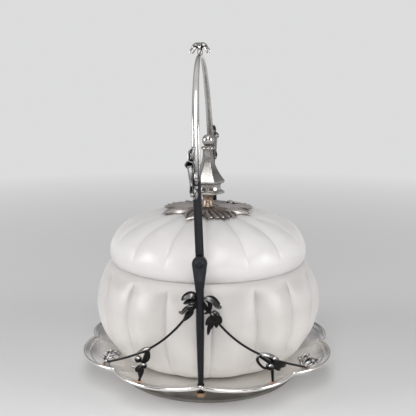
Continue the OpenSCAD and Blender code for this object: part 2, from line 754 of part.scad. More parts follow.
// Rosette: a hub and leaves that lie just over the dome
module rosette_leaf(long, wide) {
    over = lay_gap + leaf_t / 2;
    belly = [long * 0.62, 0, dome_z + dome_out(long * 0.4) + over];
    tip = [long, 0, dome_z + dome_out(long - leaf_t) + over];
    hull() {
        translate([dome_flat_r * 0.7, 0, hub_z + hub_h / 2]) cube([1, wide * 0.35, leaf_t], center = true);
        translate(belly) cylinder(r = wide / 2, h = leaf_t, center = true, $fn = 8);
    }
    hull() {
        translate(belly) cylinder(r = wide / 2, h = leaf_t, center = true, $fn = 8);
        translate(tip) cylinder(r = leaf_t / 2, h = leaf_t * 0.7, center = true, $fn = 4);
    }
}

module leaf_rosette() {
    color(dark_silver) difference() {
        union() {
            translate([0, 0, hub_z]) cylinder(r1 = dome_flat_r, r2 = stem_end_r, h = hub_h, $fn = 32);
            for (i = [0 : rosette_leaves - 1]) {
                a = (i + 0.5) * 360 / rosette_leaves;
                long = rosette_r * (i % 2 == 0 ? 1 : 0.93);
                wide = rosette_r * (i % 2 == 0 ? 0.5 : 0.66);
                rotate([0, 0, a]) rosette_leaf(long, wide);
            }
        }
        translate([0, 0, hub_z - 3]) cylinder(r = stud_r + slip, h = hub_h + 6, $fn = 24);
    }
}

// Turned stem with a waist
stem_steps = 10;

module finial_stem() {
    color(dark_silver) translate([0, 0, stem_z]) rotate_extrude($fn = round_fn) polygon(concat(
        [[stud_r + slip, stem_h], [stud_r + slip, 0]],
        [for (i = [0 : stem_steps])
            let (t = i / stem_steps)
            [mix(stem_end_r, stem_waist_r, sin(180 * t)), stem_h * t]]));
}

// Six-sided collar with a bevelled top
finial_turn = -5.4;
module finial_collar() {
    bevel = collar_t * 0.4;
    color(silver) translate([0, 0, collar_z]) rotate([0, 0, finial_turn]) difference() {
        union() {
            cylinder(r = bell_r, h = collar_t - bevel, $fn = 6);
            translate([0, 0, collar_t - bevel])
                cylinder(r1 = bell_r, r2 = bell_r * 0.85, h = bevel, $fn = 6);
        }
        translate([0, 0, -1]) cylinder(r = stud_r + slip, h = collar_t + 2, $fn = round_fn);
    }
}

// Six-sided bell over a round groove, drilled for the stud
bell_curve = 2.2;
bell_steps = 9;
groove_r = bell_r * 0.78;

module finial_bell() {
    flare_z = bell_z + bell_rim_t;
    path = concat(
        [[0, 0, bell_z]],
        [for (i = [0 : bell_steps]) [0, 0, flare_z + bell_h * i / bell_steps]]);
    half = concat(
        [bell_r * 0.92],
        [for (i = [0 : bell_steps]) mix(bell_top_r, bell_r, pow(1 - i / bell_steps, bell_curve))]);
    color(silver) difference() {
        union() {
            rotate([0, 0, finial_turn]) bar(path, half, half, 6, [1, 0, 0], 30);
            translate([0, 0, groove_z])
                cylinder(r = groove_r, h = groove_h + bell_rim_t / 2, $fn = round_fn);
        }
        translate([0, 0, groove_z - 1])
            cylinder(r = stud_r + slip, h = groove_h + 1 + stud_depth + 0.5, $fn = round_fn);
    }
}

// Disc, neck and ball at the top, turned in one
module finial_knop() {
    disc_t = knop_h * 0.6;
    neck_r = ball_r * 0.6;
    color(silver) {
        translate([0, 0, bell_top_z]) cylinder(r = bell_top_r * 0.8, h = knop_h, $fn = round_fn);
        translate([0, 0, bell_top_z + knop_h * 0.2]) cylinder(r = knop_disc_r, h = disc_t, $fn = round_fn);
        translate([0, 0, bell_top_z + knop_h * 0.8]) cylinder(r = neck_r, h = ball_r, $fn = round_fn);
        translate([0, 0, ball_z]) sphere(r = ball_r, $fn = round_fn);
    }
}

tray();
foot_ring();
upright_front();
upright_rear();
upright_nuts();
pivot_rivet_front();
pivot_rivet_rear();
pivot_washers();
branch_front_left();
branch_front_right();
branch_rear_left();
branch_rear_right();
blossom_front_left();
blossom_front_right();
blossom_rear_left();
blossom_rear_right();
leaf_prop_front_left();
leaf_prop_front_right();
leaf_prop_rear_left();
leaf_prop_rear_right();
rim_spray_front_left();
rim_spray_front_right();
rim_spray_rear_left();
rim_spray_rear_right();
bail();
crest_flower();
bail_spray_front();
bail_spray_rear();
bowl();
lid();
rosette_gasket();
leaf_rosette();
finial_stem();
finial_collar();
finial_bell();
finial_knop();
finial_stud();
lid_gasket();
lid_washer();
finial_nut();
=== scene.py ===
import math

import bpy
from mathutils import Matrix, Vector


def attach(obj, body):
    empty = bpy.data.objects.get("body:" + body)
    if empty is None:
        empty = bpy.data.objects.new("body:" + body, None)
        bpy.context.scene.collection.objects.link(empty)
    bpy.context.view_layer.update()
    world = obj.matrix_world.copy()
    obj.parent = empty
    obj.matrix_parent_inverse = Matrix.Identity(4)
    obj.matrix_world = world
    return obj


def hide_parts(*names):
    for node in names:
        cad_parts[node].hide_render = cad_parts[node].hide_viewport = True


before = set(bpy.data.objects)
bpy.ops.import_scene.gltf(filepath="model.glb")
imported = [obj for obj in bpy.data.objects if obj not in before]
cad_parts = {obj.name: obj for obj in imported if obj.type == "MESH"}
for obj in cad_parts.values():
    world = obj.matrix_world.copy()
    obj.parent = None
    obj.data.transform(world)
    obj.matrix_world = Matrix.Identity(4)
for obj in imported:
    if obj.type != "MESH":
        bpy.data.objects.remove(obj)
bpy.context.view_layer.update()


# The table and the studio round it: a pale floor, a pale background and four soft lamps, one low in front.
# The camera stands in front of the castor and a little above the lid, as in the photograph.
scene = bpy.context.scene
scene.view_settings.view_transform = "Standard"


def new_paint(name):
    """A new material, its shading tree and its surface."""
    paint = bpy.data.materials.new(name)
    paint.use_nodes = True
    return paint, paint.node_tree, paint.node_tree.nodes["Principled BSDF"]


def shading_step(tree, kind, inputs, operation=None):
    """Adds a node to a shading tree; each of its inputs takes a value, or the output of an earlier node."""
    step = tree.nodes.new("ShaderNode" + kind)
    if operation:
        step.operation = operation
    if kind == "Mix":
        step.data_type = "RGBA"
    for name, given in inputs.items():
        if isinstance(given, bpy.types.NodeSocket):
            tree.links.new(given, step.inputs[name])
        else:
            step.inputs[name].default_value = given
    return step


def range_step(tree, value, low, high, at_low=0.0, at_high=1.0):
    """Carries a value that runs from low to high over to at_low and at_high, and holds it at both ends."""
    limits = {"From Min": low, "From Max": high, "To Min": at_low, "To Max": at_high}
    return shading_step(tree, "MapRange", {"Value": value, **limits}).outputs["Result"]


def sum_step(tree, operation, *values, clamp=False):
    """Works out one sum of values and outputs, kept between 0 and 1 if clamp is set."""
    step = shading_step(tree, "Math", dict(enumerate(values)), operation)
    step.use_clamp = clamp
    return step.outputs[0]


floor_half, floor_gap = 4, 0.0002
pale_grey = (0.72, 0.72, 0.725, 1)
floor_mesh = bpy.data.meshes.new("table_top")
corners = [(x * floor_half, y * floor_half, 0) for x, y in ((-1, -1), (1, -1), (1, 1), (-1, 1))]
floor_mesh.from_pydata(corners, [], [(0, 1, 2, 3)])
table_top = bpy.data.objects.new("table_top", floor_mesh)
scene.collection.objects.link(table_top)
table_top.location.z = -floor_gap
table_paint, top_tree, near_top = new_paint("table_paint")
near_top.inputs["Base Color"].default_value = (0.80, 0.80, 0.80, 1)
near_top.inputs["Roughness"].default_value = 0.6
far_top = shading_step(top_tree, "Emission", {"Color": pale_grey})
top_place = shading_step(top_tree, "TexCoord", {})
far_away = shading_step(top_tree, "VectorMath", {0: top_place.outputs["Object"]}, "LENGTH")
fading = range_step(top_tree, far_away.outputs["Value"], 0.2, 0.9)
top_rays = shading_step(top_tree, "LightPath", {}).outputs
top_seen = sum_step(top_tree, "MAXIMUM", top_rays["Is Camera Ray"], top_rays["Is Glossy Ray"])
far_share = sum_step(top_tree, "MULTIPLY", fading, top_seen)
top_mix = shading_step(top_tree, "MixShader", {0: far_share, 1: near_top.outputs[0], 2: far_top.outputs[0]})
top_tree.links.new(top_mix.outputs[0], top_tree.nodes["Material Output"].inputs["Surface"])
floor_mesh.materials.append(table_paint)

world = bpy.data.worlds.new("studio")
scene.world = world
world.use_nodes = True
air = world.node_tree
air.nodes.clear()
rays = shading_step(air, "LightPath", {}).outputs
camera_or_gloss = sum_step(air, "MAXIMUM", rays["Is Camera Ray"], rays["Is Glossy Ray"])
seen_rays = sum_step(air, "MAXIMUM", camera_or_gloss, rays["Is Transmission Ray"])
direction = shading_step(air, "TexCoord", {})
split = shading_step(air, "SeparateXYZ", {0: direction.outputs["Generated"]})
sky = shading_step(air, "ValToRGB", {"Fac": split.outputs["Z"]})
horizon, overhead = sky.color_ramp.elements
horizon.position = 0.08
horizon.color = pale_grey
overhead.position = 0.85
overhead.color = (0.66, 0.66, 0.67, 1)
wall = sky.color_ramp.elements.new(0.38)
wall.color = (0.20, 0.20, 0.21, 1)
room_dark = range_step(air, split.outputs["Y"], -0.75, -0.05, 0.3)
pale_to_camera = sum_step(air, "MAXIMUM", room_dark, rays["Is Camera Ray"])
seen_air = shading_step(air, "Background", {"Color": sky.outputs["Color"], "Strength": pale_to_camera})
lit_air = shading_step(air, "Background", {"Color": (0.18, 0.18, 0.183, 1)})
either = shading_step(air, "MixShader", {0: seen_rays, 1: lit_air.outputs[0], 2: seen_air.outputs[0]})
shading_step(air, "OutputWorld", {"Surface": either.outputs[0]})

lamp_aim = Vector((0, 0, 0.1))
for lamp_name, place, wide, high, power in (
    ("key_lamp", (-0.95, -0.36, 0.44), 0.5, 0.6, 5.2),
    ("fill_lamp", (0.95, -0.36, 0.44), 0.5, 0.6, 4.6),
    ("top_lamp", (0.00, -0.60, 0.82), 0.5, 1.1, 4.8),
    ("low_lamp", (0.10, -0.95, 0.08), 1.1, 0.22, 1.8),
):
    lamp = bpy.data.lights.new(lamp_name, "AREA")
    lamp.shape = "RECTANGLE"
    lamp.size = wide
    lamp.size_y = high
    lamp.energy = power
    lamp_object = bpy.data.objects.new(lamp_name, lamp)
    lamp_object.location = place
    lamp_object.rotation_euler = (lamp_aim - Vector(place)).to_track_quat("-Z", "Y").to_euler()
    scene.collection.objects.link(lamp_object)

camera_turn, camera_dip = math.radians(3.3), math.radians(11.55)
camera_far, camera_high = 0.515, 0.219
photo_width_px, lens_px, sensor_mm = 416, 770, 36
lens = bpy.data.cameras.new("camera")
lens.sensor_width = sensor_mm
lens.lens = sensor_mm * lens_px / photo_width_px
lens.clip_start = 0.01
camera = bpy.data.objects.new("camera", lens)
camera.location = (camera_far * math.sin(camera_turn), -camera_far * math.cos(camera_turn), camera_high)
camera.rotation_euler = (math.pi / 2 - camera_dip, 0, camera_turn)
scene.collection.objects.link(camera)
scene.camera = camera


# The spun foot: silver-plated sheet, flared to a thick flat edge and soldered under the tray.
# It stays as the solid that was packed, in a dark polished plate with soft brown patches.
def hollow_step(tree, reach):
    """How open the piece is at a place: 1 on its crests, and less in hollows up to reach wide."""
    hollow = shading_step(tree, "AmbientOcclusion", {"Distance": reach})
    hollow.samples = 8
    hollow.only_local = True
    return hollow.outputs["AO"]


def plate_finish(name, bright, tarnish_and_shade, recess, patch, rough, dark_at=None, film_within=None, painted_top_light=None):
    """Silver plate: bright metal, tarnish in recesses and in soft patches, darker towards a height, painted
    highlight and painted shade by facing, rubbing marks.

    dark_at is the height, in metres, at which the darkening is full, and the one at which it ends.
    film_within is an outer and an inner radius and the share of a dull film between them and inside.
    painted_top_light is how far a face looks up where its painted highlight begins over painted shade, and
    where the highlight is full.
    """
    finish, tree, shader = new_paint(name)
    shader.inputs["Metallic"].default_value = 1.0
    place = shading_step(tree, "TexCoord", {}).outputs

    clouds = shading_step(tree, "TexNoise", {"Vector": place["Object"], "Scale": 38, "Detail": 2.5})
    patches = range_step(tree, clouds.outputs["Fac"], 0.45, 0.75, 0, patch)
    recesses = range_step(tree, hollow_step(tree, 0.004), 0.95, 0.35, 0, recess)
    tarnish_and_painted_shade = sum_step(tree, "ADD", patches, recesses, clamp=True)
    # Darker towards a height (painted shade on the bail's legs), and by facing: painted highlight where a
    # face looks up, painted shade on the rest.
    for upward, limits in ((place["Object"], dark_at), (place["Normal"], painted_top_light)):
        if limits:
            height = shading_step(tree, "SeparateXYZ", {0: upward})
            painted_shade_and_darkening = range_step(tree, height.outputs["Z"], *limits, 1, 0)
            tarnish_and_painted_shade = sum_step(tree, "ADD", tarnish_and_painted_shade, painted_shade_and_darkening, clamp=True)
    colour = shading_step(tree, "Mix", {"A": (*bright, 1), "B": (*tarnish_and_shade, 1), "Factor": tarnish_and_painted_shade})
    tree.links.new(colour.outputs["Result"], shader.inputs["Base Color"])

    if film_within:
        film_r, full_r, film = film_within
        flat_place = shading_step(tree, "VectorMath", {0: place["Object"], 1: (1, 1, 0)}, "MULTIPLY")
        from_middle = shading_step(tree, "VectorMath", {0: flat_place.outputs["Vector"]}, "LENGTH")
        bare = range_step(tree, from_middle.outputs["Value"], full_r, film_r, 1 - film)
        tree.links.new(bare, shader.inputs["Metallic"])

    rubbing = shading_step(tree, "TexNoise", {"Vector": place["Object"], "Scale": 420, "Detail": 6})
    gloss = range_step(tree, rubbing.outputs["Fac"], 0.3, 0.75, rough, rough + 0.12)
    duller = sum_step(tree, "MULTIPLY_ADD", tarnish_and_painted_shade, 0.3, gloss)
    tree.links.new(duller, shader.inputs["Roughness"])
    marks = shading_step(
        tree, "Bump", {"Height": rubbing.outputs["Fac"], "Strength": 0.05, "Distance": 0.0002}
    )
    tree.links.new(marks.outputs["Normal"], shader.inputs["Normal"])
    return finish


def refinish(node_name, finish):
    """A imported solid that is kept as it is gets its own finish."""
    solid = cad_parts[node_name]
    solid.data.materials.clear()
    solid.data.materials.append(finish)


foot_plate = plate_finish("foot_plate", (0.36, 0.35, 0.335), (0.13, 0.10, 0.07), 0.5, 0.3, 0.06)
refinish("foot_ring", foot_plate)


# The tray: one sheet raised into eight shallow lobes, with a bright rolled bead along its edge.
# Silver plate over white metal, under a dull film as far out as the chased line inside the bead.
# The floor is flat for the bowl, and creases run in from the notches.
mm = 0.001


def made_piece(name, points_mm, faces, body, stands_for, finish, crisp=50):
    """A piece from points in millimetres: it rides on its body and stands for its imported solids, if any."""
    mesh = bpy.data.meshes.new(name)
    mesh.from_pydata([(x * mm, y * mm, z * mm) for x, y, z in points_mm], [], faces)
    mesh.update()
    mesh.polygons.foreach_set("use_smooth", [True] * len(mesh.polygons))
    mesh.set_sharp_from_angle(angle=math.radians(crisp))
    mesh.materials.append(finish)
    piece = bpy.data.objects.new(name, mesh)
    scene.collection.objects.link(piece)
    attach(piece, body)
    if stands_for:
        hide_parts(*stands_for)


def blend_of(a, b, t):
    return a + (b - a) * t


def ring_faces(base, steps, rows):
    """Faces of a closed ring: rows of points round its section at each of its steps, from point base on."""
    faces = []
    for j in range(steps):
        here, there = base + j * rows, base + (j + 1) % steps * rows
        for i in range(rows):
            up = (i + 1) % rows
            faces.append((here + i, here + up, there + up, there + i))
    return faces


def turned(profile_at, steps, bunch=None):
    """Points and faces of a profile, as (radius, height) by angle, carried round.

    A profile that closes in the middle ends at axis_r, just off the axis.
    bunch is a number of ribs and the angle of the first one: the steps then lie closer in the creases.
    """
    points = []
    for j in range(steps):
        angle = 2 * math.pi * j / steps
        if bunch:
            count, turn = bunch
            angle += turn + 0.75 / count * math.sin(count * angle)
        for radius, height in profile_at(angle):
            points.append((radius * math.cos(angle), radius * math.sin(angle), height))
    return points, ring_faces(0, steps, len(points) // steps)


floor_z, floor_r, sheet, axis_r = 12.0, 57.0, 1.2, 0.01
tray_r, notch_r, rim_rise, notch_ridge = 88.0, 80.8, 7.0, 0.6
tray_lobes, lobe_full, dish_bend, tray_steps = 8, 0.75, 1.6, 384
bead_r, bead_sink = 1.0, 0.1
border_at, border_run, border_rise = 0.83, 0.03, 0.3
line_at, line_half, line_deep = 0.835, 0.013, 0.25


def lobe_wave(angle):
    return abs(math.sin(tray_lobes / 2 * angle)) ** lobe_full


def tray_edge(angle):
    return notch_r + (tray_r - notch_r) * lobe_wave(angle)


def dish(share, angle):
    return floor_z + rim_rise * share**dish_bend + notch_ridge * (1 - lobe_wave(angle)) * share**2


def tray_top(radius, angle):
    return dish(max(0.0, (radius - floor_r) / (tray_edge(angle) - floor_r)), angle)


def border(share):
    """Height added near the edge: a chased line, and a plain border that stands up from it to the bead."""
    step = min(1.0, max(0.0, (share - border_at) / border_run))
    line = line_deep * math.exp(-(((share - line_at) / line_half) ** 2))
    return border_rise * step * step * (3 - 2 * step) - line


def tray_profile(angle):
    edge, rim = tray_edge(angle), dish(1, angle)
    shares = [i / 12 * 0.8 for i in range(13)]
    shares += [0.812, 0.822, 0.83, 0.838, 0.846, 0.855, 0.865, 0.89, 0.92, 0.955]
    top = [(axis_r, floor_z), (floor_r * 0.5, floor_z)]
    top += [(blend_of(floor_r, edge, t), dish(t, angle) + border(t)) for t in shares]
    bead = []
    for k in range(9):
        turn = math.radians(165 - k * 32)
        bead.append((edge - bead_r + bead_r * math.cos(turn), rim - bead_sink + bead_r * math.sin(turn)))
    under = [(blend_of(floor_r, edge, t), dish(t, angle) - sheet) for t in reversed(shares)]
    under += [(floor_r * 0.5, floor_z - sheet), (axis_r, floor_z - sheet)]
    return top + bead + under


sheet_plate = plate_finish("sheet_plate", (0.90, 0.88, 0.855), (0.42, 0.37, 0.32), 0.35, 0.22, 0.1,
                           film_within=(0.080, 0.073, 0.72))
points, faces = turned(tray_profile, tray_steps)
made_piece("lobed_tray", points, faces, "frame", ["tray"], sheet_plate)


# The two uprights: tapered rods, tenoned through the tray and nutted below, that end in a flat eye.
# They stay as packed, in plate that has gone nearly black; the nuts are brass with their plate worn off.
rod_plate = plate_finish("rod_plate", (0.034, 0.035, 0.040), (0.012, 0.011, 0.011), 0.5, 0.35, 0.28)
for rod in ("upright_front", "upright_rear"):
    refinish(rod, rod_plate)
worn_brass = plate_finish("worn_brass", (0.44, 0.30, 0.19), (0.17, 0.10, 0.06), 0.6, 0.5, 0.28)
refinish("upright_nuts", worn_brass)


# The pivots: a rivet through each pair of eyes, with a thin washer between them.
# Dull and dark, with the plate gone from the heads.
rivet_metal = plate_finish("rivet_metal", (0.030, 0.031, 0.035), (0.012, 0.011, 0.011), 0.5, 0.35, 0.42)
for pivot_piece in ("pivot_rivet_front", "pivot_rivet_rear", "pivot_washers"):
    refinish(pivot_piece, rivet_metal)


# The bail: a flat oval rod, narrowest at the crown, bent to an arch and flattened to an eye at each end.
# Silver plate, bright at the crown, with painted shade that darkens the legs.
# It swings on the rivets and stands a little off upright.
def framed(path, side_hint):
    """Directions across a path: sideways and lift at each point, carried along without twist."""
    frames, side = [], side_hint
    for i in range(len(path)):
        ahead = (path[min(i + 1, len(path) - 1)] - path[max(i - 1, 0)]).normalized()
        side = (side - ahead * ahead.dot(side)).normalized()
        frames.append((side, ahead.cross(side)))
    return frames


def add_tube_faces(faces, base, rings, sides):
    """Adds the faces of a tube with closed ends, whose rings of points follow each other from base on."""
    for i in range(rings - 1):
        low, high = base + i * sides, base + (i + 1) * sides
        for q in range(sides):
            n = (q + 1) % sides
            faces.append((low + q, low + n, high + n, high + q))
    faces.append(tuple(base + q for q in reversed(range(sides))))
    faces.append(tuple(base + (rings - 1) * sides + q for q in range(sides)))


def swept(path, half_side, half_lift, side_hint, sides, points, faces, square=2.0):
    """Adds a bar of rounded section along a path, with closed ends."""
    base = len(points)
    for place, (side, lift), a, b in zip(path, framed(path, side_hint), half_side, half_lift):
        for q in range(sides):
            turn = 2 * math.pi * q / sides
            c, s = math.cos(turn), math.sin(turn)
            across = math.copysign(abs(c) ** (2 / square), c) * a
            along = math.copysign(abs(s) ** (2 / square), s) * b
            points.append(tuple(place + side * across + lift * along))
    add_tube_faces(faces, base, len(path), sides)


pivot_z, bail_lean = 98.0, math.radians(2.5)
bail_y, bail_h, arch_full = 80.98, 119.0, 2.4
leg_w, crown_w, crown_t = 5.0, 3.3, 2.8
arch_rise, arch_power = bail_h - crown_t / 2, 2 / arch_full


def arch_at(angle):
    """A place on the bail's centre line, from the front eye at 0 to the rear eye at pi, before its lean."""
    c, s = math.cos(angle), max(0.0, math.sin(angle))
    return Vector((0, -bail_y * math.copysign(abs(c) ** arch_power, c), arch_rise * s**arch_power))


def leaned(place):
    c, s = math.cos(bail_lean), math.sin(bail_lean)
    return Vector((place.x * c - place.z * s, place.y, pivot_z + place.x * s + place.z * c))


eye_t, bail_eye_r, bore_r, eye_round, eye_steps = 2.4, 4.0, 1.55, 0.3, 40
arch_steps, rod_start_z = 150, bore_r + 1.2
points, faces = [], []
angles = [math.pi * (0.5 - 0.5 * math.cos(math.pi * i / arch_steps)) for i in range(arch_steps + 1)]
angles = [a for a in angles if arch_at(a).z > rod_start_z]
swept(
    [arch_at(a) for a in angles],
    [blend_of(leg_w, crown_w, math.sin(a) ** 3) / 2 for a in angles],
    [blend_of(eye_t, crown_t, math.sin(a)) / 2 for a in angles],
    Vector((1, 0, 0)), 20, points, faces, 2.2,
)
eye_section = [(bore_r, -0.5), (bail_eye_r - eye_round, -0.5), (bail_eye_r, -0.34),
               (bail_eye_r, 0.34), (bail_eye_r - eye_round, 0.5), (bore_r, 0.5)]
for end in (-1, 1):
    base = len(points)
    for j in range(eye_steps):
        turn = 2 * math.pi * j / eye_steps
        for radius, depth in eye_section:
            points.append((radius * math.cos(turn), end * bail_y + depth * eye_t, radius * math.sin(turn)))
    faces += ring_faces(base, eye_steps, len(eye_section))
points = [tuple(leaned(Vector(p))) for p in points]
# Painted shade: the legs go dark below the crown.
bail_plate = plate_finish("bail_plate", (0.78, 0.765, 0.74), (0.030, 0.030, 0.034), 0.3, 0.25, 0.08,
                          dark_at=(0.145, 0.178))
made_piece("bail_arch", points, faces, "bail", ["bail"], bail_plate)


# The branch wires: drawn silver wire, soldered to the uprights and bent down round the bowl.
# Each ends on a side lobe of the tray; four of them, mirrored front to rear and left to right.
upright_y, upright_top_y, collar_r, collar_h, boss_skin = 76.2, 84.0, 2.2, 1.0, 0.3
boss_top_z = tray_top(upright_y + collar_r, math.pi / 2) + boss_skin
rod_low_z, rod_top_z = boss_top_z + collar_h / 2, pivot_z - 10


def upright_at(z):
    """How far out from the middle an upright stands at a height."""
    return upright_y + (upright_top_y - upright_y) * (z - rod_low_z) / (rod_top_z - rod_low_z)


wire_r, wire_steps, solder_bite = 0.75, 72, 0.25
branch_turn, branch_end_r, branch_top_z = 60.0, 77.0, floor_z + 66
branch_top_r = upright_at(branch_top_z)
branch_end_z = tray_top(branch_end_r, math.radians(branch_turn - 90)) + wire_r - solder_bite


def branch_at(t):
    """A place on the front right branch, from its upright at 0, where it falls steeply, to the tray at 1."""
    radius = blend_of(branch_top_r, branch_end_r, t * t)
    angle = math.radians(branch_turn * t - 90)
    height = blend_of(branch_end_z, branch_top_z, 0.6 * (1 - t) + 0.4 * (1 - t) ** 5)
    return Vector((radius * math.cos(angle), radius * math.sin(angle), height))


def quartered(points, faces, end, side):
    """Moves a front right piece to another quarter of the tray, with its faces kept outward."""
    flip_x, flip_y = (1 if side == "right" else -1), (1 if end == "front" else -1)
    moved = [(x * flip_x, y * flip_y, z) for x, y, z in points]
    if flip_x * flip_y < 0:
        return moved, [tuple(reversed(f)) for f in faces]
    return moved, list(faces)


def four_made(piece_name, node_name, one, other, finish):
    """Makes a piece for each quarter: one pattern front left and rear right, the other in the other two.

    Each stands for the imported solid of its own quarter, if there is such a solid.
    """
    for end in ("front", "rear"):
        for side in ("left", "right"):
            pattern = one if (end == "front") == (side == "left") else other
            points, faces = quartered(*pattern, end, side)
            stands_for = [f"{node_name}_{end}_{side}"] if node_name else []
            made_piece(f"{piece_name}_{end}_{side}", points, faces, "frame", stands_for, finish)


# Painted highlight along the top of the wire, painted shade on its sides and underside.
wire_plate = plate_finish("wire_plate", (0.30, 0.295, 0.29), (0.026, 0.026, 0.028), 0.4, 0.25, 0.08,
                          painted_top_light=(0.55, 1.0))
wire = [], []
wire_path = [branch_at(blend_of(0.012, 1.0, i / wire_steps)) for i in range(wire_steps + 1)]
wire_half = [wire_r * min(1.0, 0.55 + (wire_steps - i) * 0.09) for i in range(wire_steps + 1)]
swept(wire_path, wire_half, wire_half, Vector((0, 0, 1)), 12, *wire)
four_made("wire_branch", "branch", wire, wire, wire_plate)


# The blossom sprays: cast leaves, a bud and hanging petals, soldered where a branch leaves its upright.
# Cast white metal, plated and dark with tarnish, with a painted highlight where a face looks up and painted
# shade on the rest.
def smooth_line(knots, count):
    """A smooth line of count points through a few knots."""
    knots = [Vector(k) for k in knots]
    line = []
    for i in range(count):
        t = i / (count - 1) * (len(knots) - 1)
        k = min(int(t), len(knots) - 2)
        u = t - k
        p0, p1 = knots[max(k - 1, 0)], knots[k]
        p2, p3 = knots[k + 1], knots[min(k + 2, len(knots) - 1)]
        line.append(0.5 * (2 * p1 + (p2 - p0) * u + (2 * p0 - 5 * p1 + 4 * p2 - p3) * u**2
                           + (3 * p1 - p0 - 3 * p2 + p3) * u**3))
    return line


def add_sheet_faces(faces, base, along, across):
    """Adds the faces of a thin leaf: a front and a back sheet of points from base on, joined at the edges."""
    back = along * across
    for i in range(along - 1):
        for q in range(across - 1):
            a = base + i * across + q
            faces.append((a, a + across, a + across + 1, a + 1))
            b = a + back
            faces.append((b, b + 1, b + across + 1, b + across))
    for i in range(along - 1):
        for q, flip in ((0, False), (across - 1, True)):
            a = base + i * across + q
            edge = (a, a + back, a + back + across, a + across)
            faces.append(tuple(reversed(edge)) if flip else edge)
    for i, flip in ((0, True), (along - 1, False)):
        for q in range(across - 1):
            a = base + i * across + q
            edge = (a, a + back, a + back + 1, a + 1)
            faces.append(tuple(reversed(edge)) if flip else edge)


def add_leaf(points, faces, knots, width, facing, cup, thick):
    """Adds a cast leaf along knots: a blade that swells and narrows to a point, cupped, with a midrib."""
    along, across = 15, 9
    line = smooth_line(knots, along)
    base = len(points)
    for layer in (1, -1):
        for i, place in enumerate(line):
            u = i / (along - 1)
            ahead = (line[min(i + 1, along - 1)] - line[max(i - 1, 0)]).normalized()
            side = ahead.cross(facing).normalized()
            face = side.cross(ahead)
            swell = math.sin(math.pi * min(1, 0.06 + u * 0.94)) ** 0.7
            half = width / 2 * max(0.06, swell * (1.12 - 0.35 * u))
            for q in range(across):
                v = 2 * q / (across - 1) - 1
                midrib = 0.28 * thick * math.exp(-((v / 0.2) ** 2)) * layer
                rise = cup * half * v * v + midrib
                lift = rise + layer * thick / 2 * math.sqrt(max(0.0, 1 - v * v)) * (1 - 0.5 * u)
                points.append(tuple(place + side * half * v + face * lift))
    add_sheet_faces(faces, base, along, across)


def add_bud(points, faces, centre, radius, axis, petals, depth, stretch=1.0):
    """Adds a bud: a ball with petal grooves that meet at its tip."""
    around, rings = 20, 11
    axis = Vector(axis).normalized()
    side = axis.orthogonal().normalized()
    third = axis.cross(side)
    base = len(points)
    for i in range(rings):
        polar = math.pi * (i + 0.02) / (rings - 1 + 0.04)
        for q in range(around):
            turn = 2 * math.pi * q / around
            grow = radius * (1 + depth * math.sin(polar) * (abs(math.cos(petals * turn / 2)) - 0.6))
            spot = axis * math.cos(polar) * grow * stretch
            spot = spot + (side * math.cos(turn) + third * math.sin(turn)) * math.sin(polar) * grow
            points.append(tuple(Vector(centre) + spot))
    for i in range(rings - 1):
        for q in range(around):
            n = (q + 1) % around
            low, high = base + i * around, base + (i + 1) * around
            faces.append((low + q, high + q, high + n, low + n))
    faces.append(tuple(base + q for q in range(around)))
    faces.append(tuple(base + (rings - 1) * around + q for q in reversed(range(around))))


def add_stalk(points, faces, knots, thick, thin, count=22):
    """Adds a round stalk or tendril along knots that tapers from thick to thin."""
    line = smooth_line(knots, count)
    half = [blend_of(thick, thin, i / (count - 1)) / 2 for i in range(count)]
    half[0] *= 0.7
    half[-1] *= 0.6
    swept(line, half, half, Vector((0.31, 0.2, 0.93)), 9, points, faces)


# Painted highlight on faces that look up; faces that look sideways or down get painted shade.
blossom_plate = plate_finish("blossom_plate", (0.46, 0.453, 0.44), (0.020, 0.019, 0.020), 0.9, 0.2, 0.07,
                             painted_top_light=(0.36, 0.92))


def cast_spray(spot, leaves, buds, stalks):
    """A casting from rows of leaves, buds and stalks, whose places a spot function turns into points.

    A leaf is its knots, width, facing, cup and thickness; a bud its place, radius, axis, number of petals
    and depth of groove; a stalk its knots and its thickness at either end.
    """
    points, faces = [], []
    for knots, width, facing, cup, thick in leaves:
        add_leaf(points, faces, [spot(*k) for k in knots], width, Vector(facing), cup, thick)
    for place, radius, axis, petals, depth in buds:
        add_bud(points, faces, spot(*place), radius, axis, petals, depth)
    for knots, thick, thin in stalks:
        add_stalk(points, faces, [spot(*k) for k in knots], thick, thin)
    return points, faces


def blossom_spot(x, z, proud=0.0):
    """A place in the front right spray: across from its upright, up from the tray, and out from the wire."""
    return Vector((x, -math.sqrt(branch_top_r**2 - x * x) - 0.6 * proud, z))


podded = cast_spray(
    blossom_spot,
    leaves=(
        (((1.8, 76.4, 0.5), (4.6, 78.4, 1.8), (8.6, 77.0, 2.0), (10.9, 75.0, 0.8)),
         5.0, (0.2, -0.7, 0.7), 0.5, 1.1),
        (((2.0, 74.2, 0.3), (5.6, 74.8, 1.2), (9.8, 72.9, 0.6)), 4.0, (0.1, -0.85, 0.5), 0.4, 1.1),
        (((3.2, 72.4, 0.3), (7.0, 70.2, 1.2), (10.2, 67.4, 1.2), (12.6, 68.0, 0.5)),
         3.6, (0.3, -0.75, 0.6), 0.5, 1.1),
        (((4.4, 70.2, 0.3), (6.8, 66.8, 1.1), (10.0, 61.9, 0.3)), 4.6, (0.3, -0.95, 0.1), -0.4, 1.9),
    ),
    buds=(((5.4, 71.0, 1.3), 2.4, (0.4, -0.9, 0.3), 5, 0.14),),
    stalks=((((1.4, 71.9), (3.6, 70.6, 0.2), (9.6, 62.7)), 2.4, 1.8),),
)
